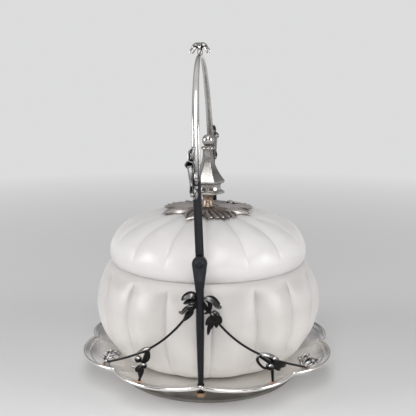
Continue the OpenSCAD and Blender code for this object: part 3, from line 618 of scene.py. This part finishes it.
petalled = cast_spray(
    blossom_spot,
    leaves=(
        (((2.2, 77.2, 0.3), (5.4, 74.6, 1.4), (5.0, 69.4, 1.4), (2.4, 67.0, 0.6)),
         3.6, (0.6, -0.8, 0.1), 0.5, 1.1),
        (((2.8, 76.6, 0.4), (7.2, 75.8, 1.9), (10.8, 71.6, 1.6), (12.8, 71.5, 0.6)),
         4.8, (0.3, -0.75, 0.6), 0.5, 1.1),
        (((8.6, 66.4, 0.6), (11.0, 64.4, 1.7), (12.6, 61.2, 0.8)), 4.0, (0.3, -0.9, 0.1), 0.45, 1.1),
        (((8.2, 65.8, 0.6), (9.4, 62.2, 1.8), (9.8, 58.4, 1.0)), 3.4, (0.1, -1, 0), 0.45, 1.1),
        (((7.8, 65.6, 0.6), (7.2, 61.8, 2.0), (6.7, 57.8, 1.2)), 3.2, (0, -1, 0), 0.45, 1.1),
        (((7.4, 66.0, 0.5), (5.2, 63.4, 1.4), (3.4, 59.8, 0.8)), 2.9, (-0.2, -1, 0), 0.45, 1.1),
        (((6.6, 63.6, 0.4), (5.5, 58.6, 1.1), (4.7, 53.7, 0.5)), 2.7, (0, -1, 0), 0.3, 1.3),
    ),
    buds=(((8.6, 66.7, 1.4), 2.8, (0.2, -0.9, -0.4), 5, 0.3),),
    stalks=((((1.4, 71.6), (5.0, 68.8, 0.3), (12.0, 60.8)), 2.3, 1.7),),
)
four_made("blossom_spray", "blossom", podded, petalled, blossom_plate)


# The leaf props: a cast spray that hangs under each branch and stands on the tray by a thin stalk.
# The same plated casting as the blossoms, in two patterns, soldered to the wire and to the tray.
# Painted highlight on faces that look up, painted shade on the rest, as on the blossoms.
prop_plate = plate_finish("prop_plate", (0.58, 0.57, 0.555), (0.022, 0.021, 0.022), 0.9, 0.2, 0.08,
                          painted_top_light=(0.2, 0.75))
prop_foot_r, prop_lead, forked_turn, looped_turn = 77.0, 8, 23, 27


def prop_spots(turn):
    """For a prop at an angle from its upright: its way outward, and its places by run, fall and stand-off."""
    root, foot_turn = branch_at(turn / branch_turn), math.radians(turn + prop_lead - 90)
    foot_x, foot_y = prop_foot_r * math.cos(foot_turn), prop_foot_r * math.sin(foot_turn)
    foot = Vector((foot_x, foot_y, tray_top(prop_foot_r, foot_turn)))
    round_way = Vector((math.cos(math.radians(turn)), math.sin(math.radians(turn)), 0))
    outward = Vector((root.x, root.y, 0)).normalized()

    def spot(run, fall, proud=0.0, to_foot=0.0):
        lean = 0.7 * fall / (root.z - foot.z)
        place = Vector((blend_of(root.x, foot.x, lean), blend_of(root.y, foot.y, lean), root.z - fall))
        place = place + round_way * run + outward * proud
        return place.lerp(foot, to_foot)

    return outward, spot


outward, spot = prop_spots(forked_turn)
face = tuple(outward)
forked = cast_spray(
    spot,
    leaves=(
        (((-1.4, -0.9), (2.8, 1.6, 0.7), (7.4, 4.4)), 3.6, face, -0.4, 1.4),
        (((-0.6, 0.6, 0.3), (-1.6, 5.0, 1.1), (-0.2, 9.6, 0.7)), 3.4, face, 0.4, 1.1),
        (((1.6, 12.0, 0.9), (3.8, 14.8, 1.5), (5.6, 17.0, 0.9)), 3.4, face, 0.4, 1.1),
        (((1.4, 12.2, 0.6), (1.2, 16.0, 1.4), (1.4, 19.4, 0.8, 0.5)), 4.6, face, 0.4, 1.2),
    ),
    buds=(((5.0, 7.8, 1.2), 2.3, face, 5, 0.14), ((0.4, 11.4, 1.4), 2.1, face, 5, 0.14)),
    stalks=(
        (((0, -0.2), (0.4, 4, 0.7), (1.3, 9, 1.0), (1.7, 14, 0.5)), 2.8, 1.9),
        (((1.1, 8.6, 0.7), (3.0, 9.0, 1.0), (4.6, 8.3, 1.0)), 1.7, 1.3),
        (((1.2, 12.6, 0.7), (5.2, 14.2, 1.1), (9.6, 14.3, 0.6)), 1.9, 1.0),
        (((1.6, 14.0, 0.4), (1.4, 17.6, 0.2, 0.6), (0, 0, 0, 1.0)), 1.9, 1.6),
    ),
)
outward, spot = prop_spots(looped_turn)
face = tuple(outward)
looped = cast_spray(
    spot,
    leaves=(
        (((-1.6, -1.0), (4.4, 1.9, 0.7), (10.8, 5.0)), 4.2, face, -0.4, 1.5),
        (((4.4, 6.0, 0.8), (9.0, 7.6, 1.5), (14.0, 10.2, 0.6)), 4.8, face, 0.4, 1.2),
        (((4.8, 8.0, 0.7), (7.6, 10.2, 1.4), (9.2, 12.6, 0.7)), 3.4, face, 0.4, 1.1),
    ),
    buds=(((2.8, 8.4, 1.2), 2.5, face, 5, 0.14), ((6.9, 4.0, 1.1), 2.1, face, 5, 0.14)),
    stalks=(
        (((-1.8, -0.8), (-4.1, 2.2, 0.7), (-3.5, 5.6, 0.9), (-0.9, 8.9, 0.9), (2.6, 8.6, 0.7)), 1.9, 1.6),
        (((-0.8, 0.0), (2.0, 3.4, 0.7), (4.6, 6.6, 0.8), (5.6, 9.2, 0.5)), 3.4, 2.8),
        (((4.8, 8.6, 0.4), (4.4, 11, 0.2, 0.45), (0, 0, 0, 1.0)), 2.3, 1.5),
    ),
)
four_made("prop_spray", "leaf_prop", forked, looped, prop_plate)


# The rim sprays: a curled leaf and berries over the end of each branch, lying on a side lobe.
# Plated casting, painted brighter than the others as painted light, because it faces up.
painted_lit_cast = plate_finish("painted_lit_cast", (0.44, 0.43, 0.42), (0.014, 0.012, 0.010), 1.5, 0.25, 0.1)


def rim_spots(t):
    """For a rim spray at a place along its branch: places by their run to the side, to the rear and up."""
    root = branch_at(t)
    return lambda run, back, rise: root + Vector((run, back, rise))


upward = (0, -0.6, 0.8)
arched = cast_spray(
    rim_spots(0.86),
    leaves=(
        (((3.2, -0.2, 0.6), (0, 0.6, 2.4), (-3.8, 0.8, 1.4)), 3.4, upward, 0.4, 1.0),
        (((2.4, 0.4, 1.6), (-1.6, 2.2, 5.2), (-5.6, 2.4, 5.2), (-7.6, 1.4, 2.2)), 4.4, upward, -0.5, 1.0),
        (((-0.6, 0.8, 1.2), (1.2, 2.8, 4.6), (3.2, 3.6, 6.0)), 3.0, upward, 0.4, 0.9),
    ),
    buds=(
        ((3.6, 0.4, 2.8), 1.4, upward, 4, 0.14), ((-0.8, 2.6, 6.4), 1.5, upward, 5, 0.3),
        ((-4.4, 2.4, 5.8), 1.3, upward, 5, 0.3), ((-7.2, 1.2, 3.0), 1.2, upward, 4, 0.14),
    ),
    stalks=(
        (((2.2, -0.4, -0.6), (0.6, 0.6, 2.4), (-0.8, 2.2, 5.4)), 1.9, 1.5),
        (((-0.4, 0.4, -0.2), (0.4, 1.4, -3.0), (0.8, 1.6, -5.8)), 1.7, 1.9),
    ),
)
trailing = cast_spray(
    rim_spots(0.96),
    leaves=(
        (((-0.4, 0.4, 0.8), (3.6, 1.8, 4.4), (7.6, 2.8, 3.8), (11.6, 3.6, 5.6)), 4.8, upward, -0.5, 1.0),
        (((-1.2, 0.8, 1.6), (0.8, 2.4, 5.8), (3.4, 3.2, 7.6)), 3.2, upward, 0.4, 0.9),
        (((1.8, 0.2, 0.4), (5.2, 0.8, 2.2), (8.6, 1.8, 1.8)), 3.2, upward, 0.4, 1.0),
    ),
    buds=(
        ((-3.6, 1.2, 5.0), 1.3, upward, 4, 0.14), ((5.0, 1.2, 3.6), 1.4, upward, 5, 0.3),
        ((1.6, 2.6, 7.2), 1.4, upward, 5, 0.3),
    ),
    stalks=(
        (((-1.4, -0.2, -0.6), (-2.8, 1.2, 3.0), (-1.4, 2.2, 6.2), (1.0, 2.6, 7.6), (2.4, 2.2, 6.2)),
         2.0, 1.5),
        (((-2.4, 0.8, 2.0), (-3.6, 1.2, 3.6), (-3.7, 1.2, 4.6)), 1.4, 1.2),
    ),
)
four_made("curled_leaf", "rim_spray", arched, trailing, painted_lit_cast)


# The solder: small copper-brown drops where the props and the wires were soldered to the tray.
# Hard solder that has run out a little, with the plate worn off it.
solder_metal = plate_finish("solder_metal", (0.62, 0.40, 0.28), (0.20, 0.11, 0.07), 0.6, 0.7, 0.3)


def add_drop(points, faces, x, y, radius, height):
    """Adds a low drop of solder that has run out unevenly on the tray."""
    around, rings = 24, 7
    base = len(points)
    for i in range(rings):
        share = 1 - i / (rings - 1)
        for q in range(around):
            turn = 2 * math.pi * q / around
            uneven = 1 + 0.16 * math.sin(2 * turn + x) + 0.1 * math.sin(3 * turn + y)
            reach = radius * share * uneven + axis_r
            px, py = x + reach * math.cos(turn), y + reach * math.sin(turn)
            foot_z = tray_top(math.hypot(px, py), math.atan2(py, px)) - solder_bite
            points.append((px, py, foot_z + (height + solder_bite) * math.sqrt(1 - share * share)))
    add_tube_faces(faces, base, rings, around)


def solder_drops(prop_turn):
    """The drops of the front right quarter: under the foot of its prop and at the end of its wire."""
    points, faces = [], []
    foot_turn, wire_end = math.radians(prop_turn + prop_lead), branch_at(1.0)
    add_drop(points, faces, prop_foot_r * math.sin(foot_turn), -prop_foot_r * math.cos(foot_turn), 2.3, 0.9)
    add_drop(points, faces, wire_end.x, wire_end.y, 1.7, 0.8)
    return points, faces


four_made("solder", None, solder_drops(forked_turn), solder_drops(looped_turn), solder_metal)


# The crest flower: two tiers of cast petals that droop over the crown of the bail, with a button on top.
# Plated casting, painted bright as painted light like the rim sprays, bright on the petals' backs and dark
# between them.
crest_w, crest_h = 14.5, 7.8
points, faces = [], []
lower_tier = (8, 0.93, 2.7, ((0.1, 0.50), (0.52, 0.60), (0.84, 0.40), (1.0, 0.06)))
upper_tier = (6, 0.80, 3.5, ((0.1, 0.82), (0.46, 0.88), (0.84, 0.71), (1.0, 0.42)))
for petals, reach, width, bend in (lower_tier, upper_tier):
    for i in range(petals):
        turn = math.radians(270 + i * 360 / petals)
        ray = Vector((math.cos(turn), math.sin(turn), 0))
        knots = [ray * crest_w / 2 * reach * out + Vector((0, 0, bail_h + crest_h * up)) for out, up in bend]
        add_leaf(points, faces, knots, width, Vector((0, 0, 1)) + ray * 0.8, -0.3, 0.9)
add_bud(points, faces, (0, 0, bail_h + crest_h * 0.81), 1.3, (0, 0, 1), 6, 0.2, 0.8)
crest_stem = [(0, 0, bail_h + rise) for rise in (-0.6, crest_h * 0.4, crest_h * 0.8)]
add_stalk(points, faces, crest_stem, 3.8, 2.6, 10)
points = [tuple(leaned(Vector(p))) for p in points]
made_piece("crest_petals", points, faces, "bail", ["crest_flower"], painted_lit_cast)


# The bail sprays: a trumpet blossom on a stem with long leaves, soldered along one side of each leg.
# Plated casting; the front one lies to the left of its leg and the rear one to the right.
leg_z = arch_rise * 0.455
leg_front = Vector((-0.35, -1, 0))
leg_left = Vector((-1, -0.35, 0))
spray_plate = plate_finish("spray_plate", (0.34, 0.335, 0.33), (0.012, 0.010, 0.009), 1.3, 0.3, 0.09)


def leg_spot(x, z, proud=0.0):
    """A place on the front leg's left side: out from its middle, up from the spray, and out from the arch."""
    share = min(0.98, (leg_z + z) / arch_rise)
    return Vector((-x, -bail_y * (1 - share**arch_full) ** (1 / arch_full) - proud, leg_z + z))


def add_trumpet(points, faces, foot, mouth, facing):
    """Adds a trumpet flower from foot to mouth: a narrow tube that opens to a rolled lip, hollow inside."""
    outer = [0.8, 0.95, 1.1, 1.2, 1.3, 1.38, 1.45, 1.52, 1.6, 1.7, 1.8, 1.92, 2.1, 2.4, 2.75]
    count, hollow_from, wall, lip = len(outer), 6, 0.45, 0.3
    line = smooth_line([foot, foot.lerp(mouth, 0.6), mouth + facing * 0.5, mouth + facing * 1.1], count)
    path = line + [line[-1], line[-1]] + line[: hollow_from - 1 : -1]
    radii = outer + [2.7, 2.35] + [r - wall for r in outer[: hollow_from - 1 : -1]]
    base, around = len(points), 24
    for i, (place, radius) in enumerate(zip(path, radii)):
        k = min(i, count - 1) if i < count + 2 else len(path) - 1 - i + hollow_from
        ahead = (line[min(k + 1, count - 1)] - line[max(k - 1, 0)]).normalized()
        side = ahead.cross(Vector((0, 0, 1)) if abs(ahead.z) < 0.9 else Vector((1, 0, 0))).normalized()
        third = ahead.cross(side)
        if i in (count, count + 1):
            place = place + ahead * lip
        for q in range(around):
            turn = 2 * math.pi * q / around
            wavy = radius * (1 + 0.05 * math.cos(5 * turn) * (radius > 1.7))
            points.append(tuple(place + (side * math.cos(turn) + third * math.sin(turn)) * wavy))
    add_tube_faces(faces, base, len(path), around)


trumpet = cast_spray(
    leg_spot,
    leaves=(
        (((1.4, 11.8, 0.4), (3.6, 10.4, 1.2), (3.9, 6.8, 1.4), (2.9, 4.6, 1.0)), 2.3, leg_left, 0.4, 1.2),
        (((1.0, 11.6, 1.2), (2.2, 9.2, 1.9), (1.4, 6.0, 1.8), (0.7, 3.8, 1.6)), 2.0, leg_front, 0.4, 1.1),
        (((0.2, -1.0, 1.4), (-0.3, -4.6, 2.1), (0.2, -8.4, 1.5)), 2.9, leg_front, 0.4, 1.2),
        (((3.2, -8.6, 0.8), (3.8, -11.6, 1.4), (2.8, -15.2, 0.7)), 2.5, leg_left, 0.4, 1.1),
        (((1.4, -10.2, 1.2), (0.2, -12.8, 1.9), (0.6, -16.4, 1.2)), 2.5, leg_front, 0.4, 1.1),
    ),
    buds=(
        ((1.2, 12.0, 0.8), 1.5, leg_front, 4, 0.2), ((0.0, -5.2, 1.9), 1.3, leg_front, 5, 0.25),
        ((2.6, -13.6, 1.0), 1.5, leg_front, 5, 0.25), ((0.2, -9.6, 1.7), 1.2, leg_front, 4, 0.2),
    ),
    stalks=(
        (((1.6, 11.6, 0.2), (2.3, 6.0, 0.4), (2.2, -2.0, 0.4), (2.5, -9.0, 0.5), (1.5, -17.2, 0.2)),
         1.6, 1.8),
    ),
)
mouth_way = Vector((-0.15, -0.75, 0.6)).normalized()
add_trumpet(*trumpet, leg_spot(3.1, -9.0, 0.6), leg_spot(3.7, 2.6, 1.0), mouth_way)
for end, flip in (("front", 1), ("rear", -1)):
    points = [tuple(leaned(Vector((x * flip, y * flip, z)))) for x, y, z in trumpet[0]]
    stands_for = [f"bail_spray_{end}"]
    made_piece(f"trumpet_spray_{end}", points, trumpet[1], "bail", stands_for, spray_plate)


# The bowl: blown glass, ribbed like a melon in a mould, its mouth ground flat, acid-etched all over.
# The etched skin is a slightly warm white, painted paler towards the foot as painted light, where light comes
# through the wall.
# It stands loose on the tray's flat floor.
bowl_base_r, bowl_belly_r, belly_h, shoulder_h, bowl_h = 45.0, 76.6, 40.0, 36.0, 68.0
glass, ribs, bowl_crease, bowl_band, rib_top = 3.8, 16, 3.4, 8.0, 63.8
bowl_turn, rib_steps = math.radians(-6.25), 26


def crease(angle, turn):
    """0 on the crest of a rib, 1 in the crease beside it: a round lobe with a narrow soft groove."""
    lobe = abs(math.cos(ribs / 2 * (angle - turn)))
    return 0.86 * (1 - lobe**0.9) + 0.14 * math.exp(-((lobe / 0.14) ** 2))


def bowl_out(z):
    swell = (belly_h - z) / belly_h if z < belly_h else (z - belly_h) / shoulder_h
    return blend_of(bowl_base_r, bowl_belly_r, math.sqrt(max(0.0, 1 - swell * swell)))


def bowl_dent(z):
    if z >= rib_top:
        return 0.0
    return bowl_crease * math.sqrt(max(0.0, math.sin(math.pi * z / rib_top)))


def bowl_in(z):
    if z >= bowl_h - bowl_band:
        return bowl_out(z) - glass
    wall = blend_of(glass, glass + bowl_crease, math.sin(math.pi * z / (bowl_h - bowl_band)))
    return bowl_out(max(z - glass, 0)) - wall


def bowl_profile(angle):
    bend = crease(angle, bowl_turn)
    outer, wall_steps = [(axis_r, 0), (bowl_base_r * 0.6, 0), (bowl_base_r, 0)], 48
    for i in range(1, wall_steps + 1):
        z = (bowl_h - 0.7) * (i / wall_steps) ** 1.25
        outer.append((bowl_out(z) - bowl_dent(z) * bend, z))
    mouth = bowl_out(bowl_h)
    rim = [(mouth + 0.25, bowl_h - 0.25), (mouth - 0.3, bowl_h),
           (mouth - glass + 0.6, bowl_h), (mouth - glass, bowl_h - 0.5)]
    inner = [(bowl_in(z), z) for z in (bowl_h * (1 - i / 24) for i in range(1, 23))]
    bottom = [(bowl_base_r - 4, glass), (bowl_base_r * 0.5, glass), (axis_r, glass)]
    return [(r, floor_z + z) for r, z in reversed(outer + rim + inner + bottom)]


def satin_finish(name, skin, shade, rough, painted_foot_light=None):
    """Acid-etched glass: a soft white skin that lets a little light in, fine-grained and faintly uneven, with
    painted shade in its creases.

    The paler foot colour, if given, is painted light towards the foot, where the wall is thin and light comes
    through it.
    """
    finish, tree, shader = new_paint(name)
    for setting, value in (
        ("IOR", 1.5), ("Coat Weight", 0.5), ("Coat Roughness", 0.26),
        ("Subsurface Weight", 0.6), ("Subsurface Radius", (0.013, 0.013, 0.013)), ("Subsurface Scale", 1.0),
        ("Sheen Weight", 0.3), ("Sheen Roughness", 0.4),
    ):
        shader.inputs[setting].default_value = value
    place = shading_step(tree, "TexCoord", {}).outputs["Object"]

    haze = shading_step(tree, "TexNoise", {"Vector": place, "Scale": 38, "Detail": 4})
    cloudy = range_step(tree, haze.outputs["Fac"], 0.38, 0.68)
    # Painted shade: the skin goes towards the shade colour in creases and hollows.
    depth = range_step(tree, hollow_step(tree, 0.006), 1.0, 0.45, 0, 0.7)
    haze_and_painted_shade = sum_step(tree, "MULTIPLY_ADD", cloudy, 0.35, depth, clamp=True)
    colour = shading_step(tree, "Mix", {"A": (*skin, 1), "B": (*shade, 1), "Factor": haze_and_painted_shade})
    # Painted light: the skin is painted paler towards the foot.
    if painted_foot_light:
        height = shading_step(tree, "SeparateXYZ", {0: place})
        foot_light_share = range_step(tree, height.outputs["Z"], 0.018, 0.056, 1, 0)
        foot_light_mix = {"A": colour.outputs["Result"], "B": (*painted_foot_light, 1), "Factor": foot_light_share}
        colour = shading_step(tree, "Mix", foot_light_mix)
    tree.links.new(colour.outputs["Result"], shader.inputs["Base Color"])

    grain = shading_step(tree, "TexNoise", {"Vector": place, "Scale": 1500, "Detail": 3}).outputs["Fac"]
    satin = range_step(tree, grain, 0, 1, rough - 0.05, rough + 0.07)
    tree.links.new(satin, shader.inputs["Roughness"])
    etched = shading_step(tree, "Bump", {"Height": grain, "Strength": 0.03, "Distance": 0.0001})
    tree.links.new(etched.outputs["Normal"], shader.inputs["Normal"])
    return finish


# The second colour is the painted shade in creases and hollows; the last is the painted light towards the
# foot.
bowl_skin = satin_finish("bowl_satin", (0.635, 0.602, 0.577), (0.49, 0.458, 0.436), 0.38, (0.93, 0.89, 0.85))
points, faces = turned(bowl_profile, ribs * rib_steps, (ribs, bowl_turn))
made_piece("melon_bowl", points, faces, "bowl", ["bowl"], bowl_skin)


# The lid: a ribbed glass dome of the same make, with a plain band that is rounded in to the seam.
# Etched like the bowl but lighter; a ring under the band sits in the bowl's mouth.
# It is drilled at the top for the finial's stud, and lifted off by the finial.
lid_r, lid_band, dome_h, dome_full, lid_crease, dome_flat_r = 67.0, 6.0, 27.0, 2.3, 2.4, 9.0
band_tuck, ring_section = 1.7, ((0, 0), (0, -4.6), (-0.4, -5), (-2.2, -5), (-2.6, -4.6), (-2.6, 0.8))
mouth_z = floor_z + bowl_h
dome_z = mouth_z + lid_band
dome_top_z = dome_z + dome_h
ring_out_r = bowl_out(bowl_h) - glass - 0.8
stud_hole_r, lid_turn, dome_steps, fade_steps = 2.6, math.radians(-8.75), 40, 14


def dome_out(radius):
    if radius <= dome_flat_r:
        return dome_h
    share = (radius - dome_flat_r) / (lid_r - dome_flat_r)
    return dome_h * max(0.0, 1 - share**dome_full) ** (1 / dome_full)


def lid_profile(angle):
    bend = crease(angle, lid_turn)
    outer = [(stud_hole_r, dome_top_z), (dome_flat_r, dome_top_z)]
    for i in range(1, dome_steps + 1):
        turn = math.pi / 2 * i / dome_steps
        share = math.sin(turn) ** (2 / dome_full)
        radius = blend_of(dome_flat_r, lid_r, share)
        fade = math.sin(math.pi / 2 * min(1.0, (dome_steps - i) / fade_steps)) ** 1.5
        dent = lid_crease * math.sqrt(share) * bend * fade
        height = dome_h * math.cos(turn) ** (2 / dome_full) if i < dome_steps else 0
        outer.append((radius - dent * share**2, dome_z + height - dent * (1 - share**2)))
    band = []
    for t in (0.85, 0.7, 0.55, 0.4, 0.25, 0.15, 0.08, 0.03):
        band.append((lid_r - band_tuck * (1 - t) ** 2.4, mouth_z + lid_band * t))
    band.append((lid_r - band_tuck - 0.2, mouth_z))
    ring = [(ring_out_r + out, mouth_z + up) for out, up in ring_section]
    inner_r = lid_r - glass * 1.3
    inner = []
    for i in range(19):
        radius = inner_r * (0.98 - 0.84 * i / 18)
        height = dome_h * (1 - (radius / inner_r) ** dome_full) ** (1 / dome_full)
        inner.append((radius, dome_z + height - glass))
    top = [(8.0, dome_top_z - glass), (stud_hole_r, dome_top_z - glass)]
    return outer + band + ring + inner + top


# The second colour is the painted shade in the lid's creases and hollows.
lid_skin = satin_finish("lid_satin", (0.735, 0.716, 0.702), (0.57, 0.543, 0.525), 0.36)
points, faces = turned(lid_profile, ribs * rib_steps, (ribs, lid_turn))
faces = [tuple(reversed(f)) for f in faces]
made_piece("melon_lid", points, faces, "lid", ["lid"], lid_skin)


# The rosette: broad fluted leaves, pointed ones and a few berries, cast in one with a round hub.
# Plated casting with a brown bloom in its flutes, laid over the top of the dome.
# A soft ring keeps it off the glass.
brown_cast = plate_finish("brown_cast", (0.52, 0.48, 0.455), (0.05, 0.034, 0.024), 1.9, 0.35, 0.24)
hub_z, hub_h, hub_r, rosette_r, leaf_t = dome_top_z + 0.6, 2.0, 6.3, 31.5, 0.62
stud_clear_r, round_steps = 2.1, 64
rosette_leaves, broad_leaves, best_fluted = 8, (0, 2, 3, 6), 6
along, across = 25, 41
points, faces = [], []
for leaf in range(rosette_leaves):
    turn = math.radians((leaf + 0.5) * 360 / rosette_leaves)
    broad = leaf in broad_leaves
    ray = Vector((math.cos(turn), math.sin(turn), 0))
    side = Vector((-math.sin(turn), math.cos(turn), 0))
    long = rosette_r * (1.0 if broad else 1.04)
    half_wide = rosette_r * (0.36 if broad else 0.26)
    flutes = 6 if leaf == best_fluted else 4 if broad else 3
    base = len(points)
    for thick in (leaf_t, 0.0):
        for u in (i / (along - 1) for i in range(along)):
            for v in (2 * q / (across - 1) - 1 for q in range(across)):
                if broad:
                    half = half_wide * (0.3 + 0.7 * math.sin(math.pi / 2 * min(1, u * 1.25)))
                    scallop = 0.94 - 0.13 * v * v + 0.06 * math.cos(math.pi * flutes * v)
                    reach = hub_r + (long - hub_r) * u * scallop
                else:
                    swell = 0.35 + 0.65 * math.sin(math.pi * min(1, u * 0.8 + 0.1))
                    half = half_wide * swell * (1 - u**3.5)
                    reach = hub_r + (long - hub_r) * u
                spot = ray * reach + side * half * v
                on_dome = dome_z + dome_out(math.hypot(spot.x, spot.y)) + 0.45
                rest_z = blend_of(hub_z + hub_h * 0.55, on_dome, min(1, u * 2.2) ** 0.7)
                ripple = 0.5 + 0.5 * math.cos(math.pi * flutes * v)
                flute = (0.5 + 1.9 * u) * ripple * math.sin(math.pi * min(1, u + 0.15) * 0.8)
                if not broad:
                    flute *= 1 - u**4
                rise = rest_z + flute + thick * math.sqrt(max(0.0, 1 - v**6))
                points.append((spot.x, spot.y, rise))
    add_sheet_faces(faces, base, along, across)
hub = [(stud_clear_r, 0), (8.6, 0), (9.0, 0.3), (8.2, 0.9), (6.4, 1.3), (5.4, hub_h), (stud_clear_r, hub_h)]
hub_points, hub_faces = turned(lambda angle: [(r, hub_z + z) for r, z in hub], round_steps)
faces += [tuple(len(points) + v for v in f) for f in hub_faces]
points += hub_points
for x, y, r in ((15.5, 13.0, 1.9), (18.4, 12.2, 1.5), (14.0, 16.4, 1.6)):
    z = dome_z + dome_out(math.hypot(x, y)) + 2.3
    add_bud(points, faces, (x, y, z), r, (0.2, -0.2, 1), 5, 0.25, 0.8)
made_piece("fluted_rosette", points, faces, "lid", ["leaf_rosette"], brown_cast)


# The finial: a turned stem, a six-sided collar, a six-sided bell over a round groove, and a ball on a disc.
# Stamped and turned silver, polished on the flats, darker towards the ball and brown on the stem.
# All of it is threaded on one stud, which comes up through the lid.
stem_z, stem_h, collar_t, groove_h = hub_z + hub_h, 8.8, 2.5, 4.4
collar_z = stem_z + stem_h
groove_z = collar_z + collar_t
bell_z = groove_z + groove_h
bell_r, bell_neck_r, bell_edge, bell_rise = 11.6, 3.5, 1.9, 20.3
bell_top_z = bell_z + bell_edge + bell_rise
ball_r = 4.1
finial_turn, corner_soft, hex_steps, hex_crisp = math.radians(-5.4), 0.012, 144, 22


def hex_out(angle, corner_r):
    """Radius of a hexagon with slightly soft corners, whose corners lie finial_turn off the X axis."""
    local = (angle - finial_turn + math.pi / 6) % (math.pi / 3) - math.pi / 6
    flat = corner_r * math.cos(math.pi / 6) / math.cos(abs(local) - math.pi / 6)
    return min(flat, corner_r * (1 - corner_soft))


def bell_corner(z):
    return blend_of(bell_neck_r, bell_r, max(0.0, 1 - (z - bell_z - bell_edge) / bell_rise) ** 2.2)


def bell_profile(angle):
    groove = [(stud_clear_r, groove_z), (8.8, groove_z), (9.05, groove_z + 0.3), (8.6, groove_z + 2.2),
              (9.05, bell_z - 0.2)]
    rim_corners = ((9.6, 0.0), (10.7, 0.15), (11.2, 0.6), (bell_r, 1.5), (bell_r, bell_edge))
    rim = [(hex_out(angle, r), bell_z + z) for r, z in rim_corners]
    flare = []
    for i in range(1, 27):
        z = bell_z + bell_edge + bell_rise * i / 26
        flare.append((hex_out(angle, bell_corner(z)), z))
    top = [(2.4, bell_top_z), (stud_clear_r, bell_top_z - 14.0)]
    return list(reversed(groove + rim + flare + top))


finial_plate = plate_finish("finial_plate", (0.46, 0.445, 0.425), (0.08, 0.058, 0.042), 0.9, 0.4, 0.1)
bell_plate = plate_finish("bell_plate", (0.46, 0.445, 0.425), (0.07, 0.054, 0.042), 1.7, 0.3, 0.1,
                          dark_at=(0.167, 0.136))
points, faces = turned(bell_profile, hex_steps)
made_piece("hex_bell", points, faces, "lid", ["finial_bell"], bell_plate, hex_crisp)


def collar_profile(angle):
    corners = ((10.9, 0.0), (11.5, 0.3), (11.6, 0.8), (11.5, 1.35), (10.6, 1.8), (9.9, collar_t))
    ring = [(stud_clear_r, 0.0)] + [(hex_out(angle, r), z) for r, z in corners] + [(stud_clear_r, collar_t)]
    return [(r, collar_z + z) for r, z in reversed(ring)]


points, faces = turned(collar_profile, hex_steps)
made_piece("hex_collar", points, faces, "lid", ["finial_collar"], finial_plate, hex_crisp)


def stem_profile(angle):
    waist = [(blend_of(5.0, 3.4, math.sin(math.pi * i / 24)), stem_h * i / 24) for i in range(25)]
    ring = [(stud_clear_r, 0.0)] + waist + [(stud_clear_r, stem_h)]
    return [(r, stem_z + z) for r, z in reversed(ring)]


stem_plate = plate_finish("stem_plate", (0.34, 0.27, 0.22), (0.13, 0.075, 0.045), 0.6, 0.9, 0.22)
points, faces = turned(stem_profile, round_steps)
made_piece("turned_stem", points, faces, "lid", ["finial_stem"], stem_plate)


def knop_profile(angle):
    ring = [(axis_r, 0.0), (2.8, 0.0), (2.8, 0.5), (4.2, 0.6), (4.7, 0.95), (4.8, 1.5), (4.7, 2.05),
            (4.2, 2.4), (2.6, 2.5), (2.5, 3.0)]
    centre = 3 + ball_r * 0.88
    for i in range(21):
        turn = math.radians(-52 + 142 * i / 20)
        ring.append((max(axis_r, ball_r * math.cos(turn)), centre + ball_r * math.sin(turn)))
    return [(r, bell_top_z + z) for r, z in reversed(ring)]


points, faces = turned(knop_profile, round_steps)
made_piece("ball_knop", points, faces, "lid", ["finial_knop"], finial_plate)


# The clamp under the lid: stud, nut and washer in worn brass, with cork rings against the glass.
# Hidden when the lid is on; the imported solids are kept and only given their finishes.
for clamp_piece in ("finial_stud", "lid_washer", "finial_nut"):
    refinish(clamp_piece, worn_brass)
cork, cork_tree, cork_shader = new_paint("cork_sheet")
cork_shader.inputs["Roughness"].default_value = 0.85
cork_place = shading_step(cork_tree, "TexCoord", {})
cork_cells = shading_step(cork_tree, "TexVoronoi", {"Vector": cork_place.outputs["Object"], "Scale": 900})
cork_tones = {"A": (0.30, 0.19, 0.10, 1), "B": (0.55, 0.38, 0.22, 1)}
cork_colour = shading_step(cork_tree, "Mix", {**cork_tones, "Factor": cork_cells.outputs["Distance"]})
cork_tree.links.new(cork_colour.outputs["Result"], cork_shader.inputs["Base Color"])
for ring_piece in ("rosette_gasket", "lid_gasket"):
    refinish(ring_piece, cork)
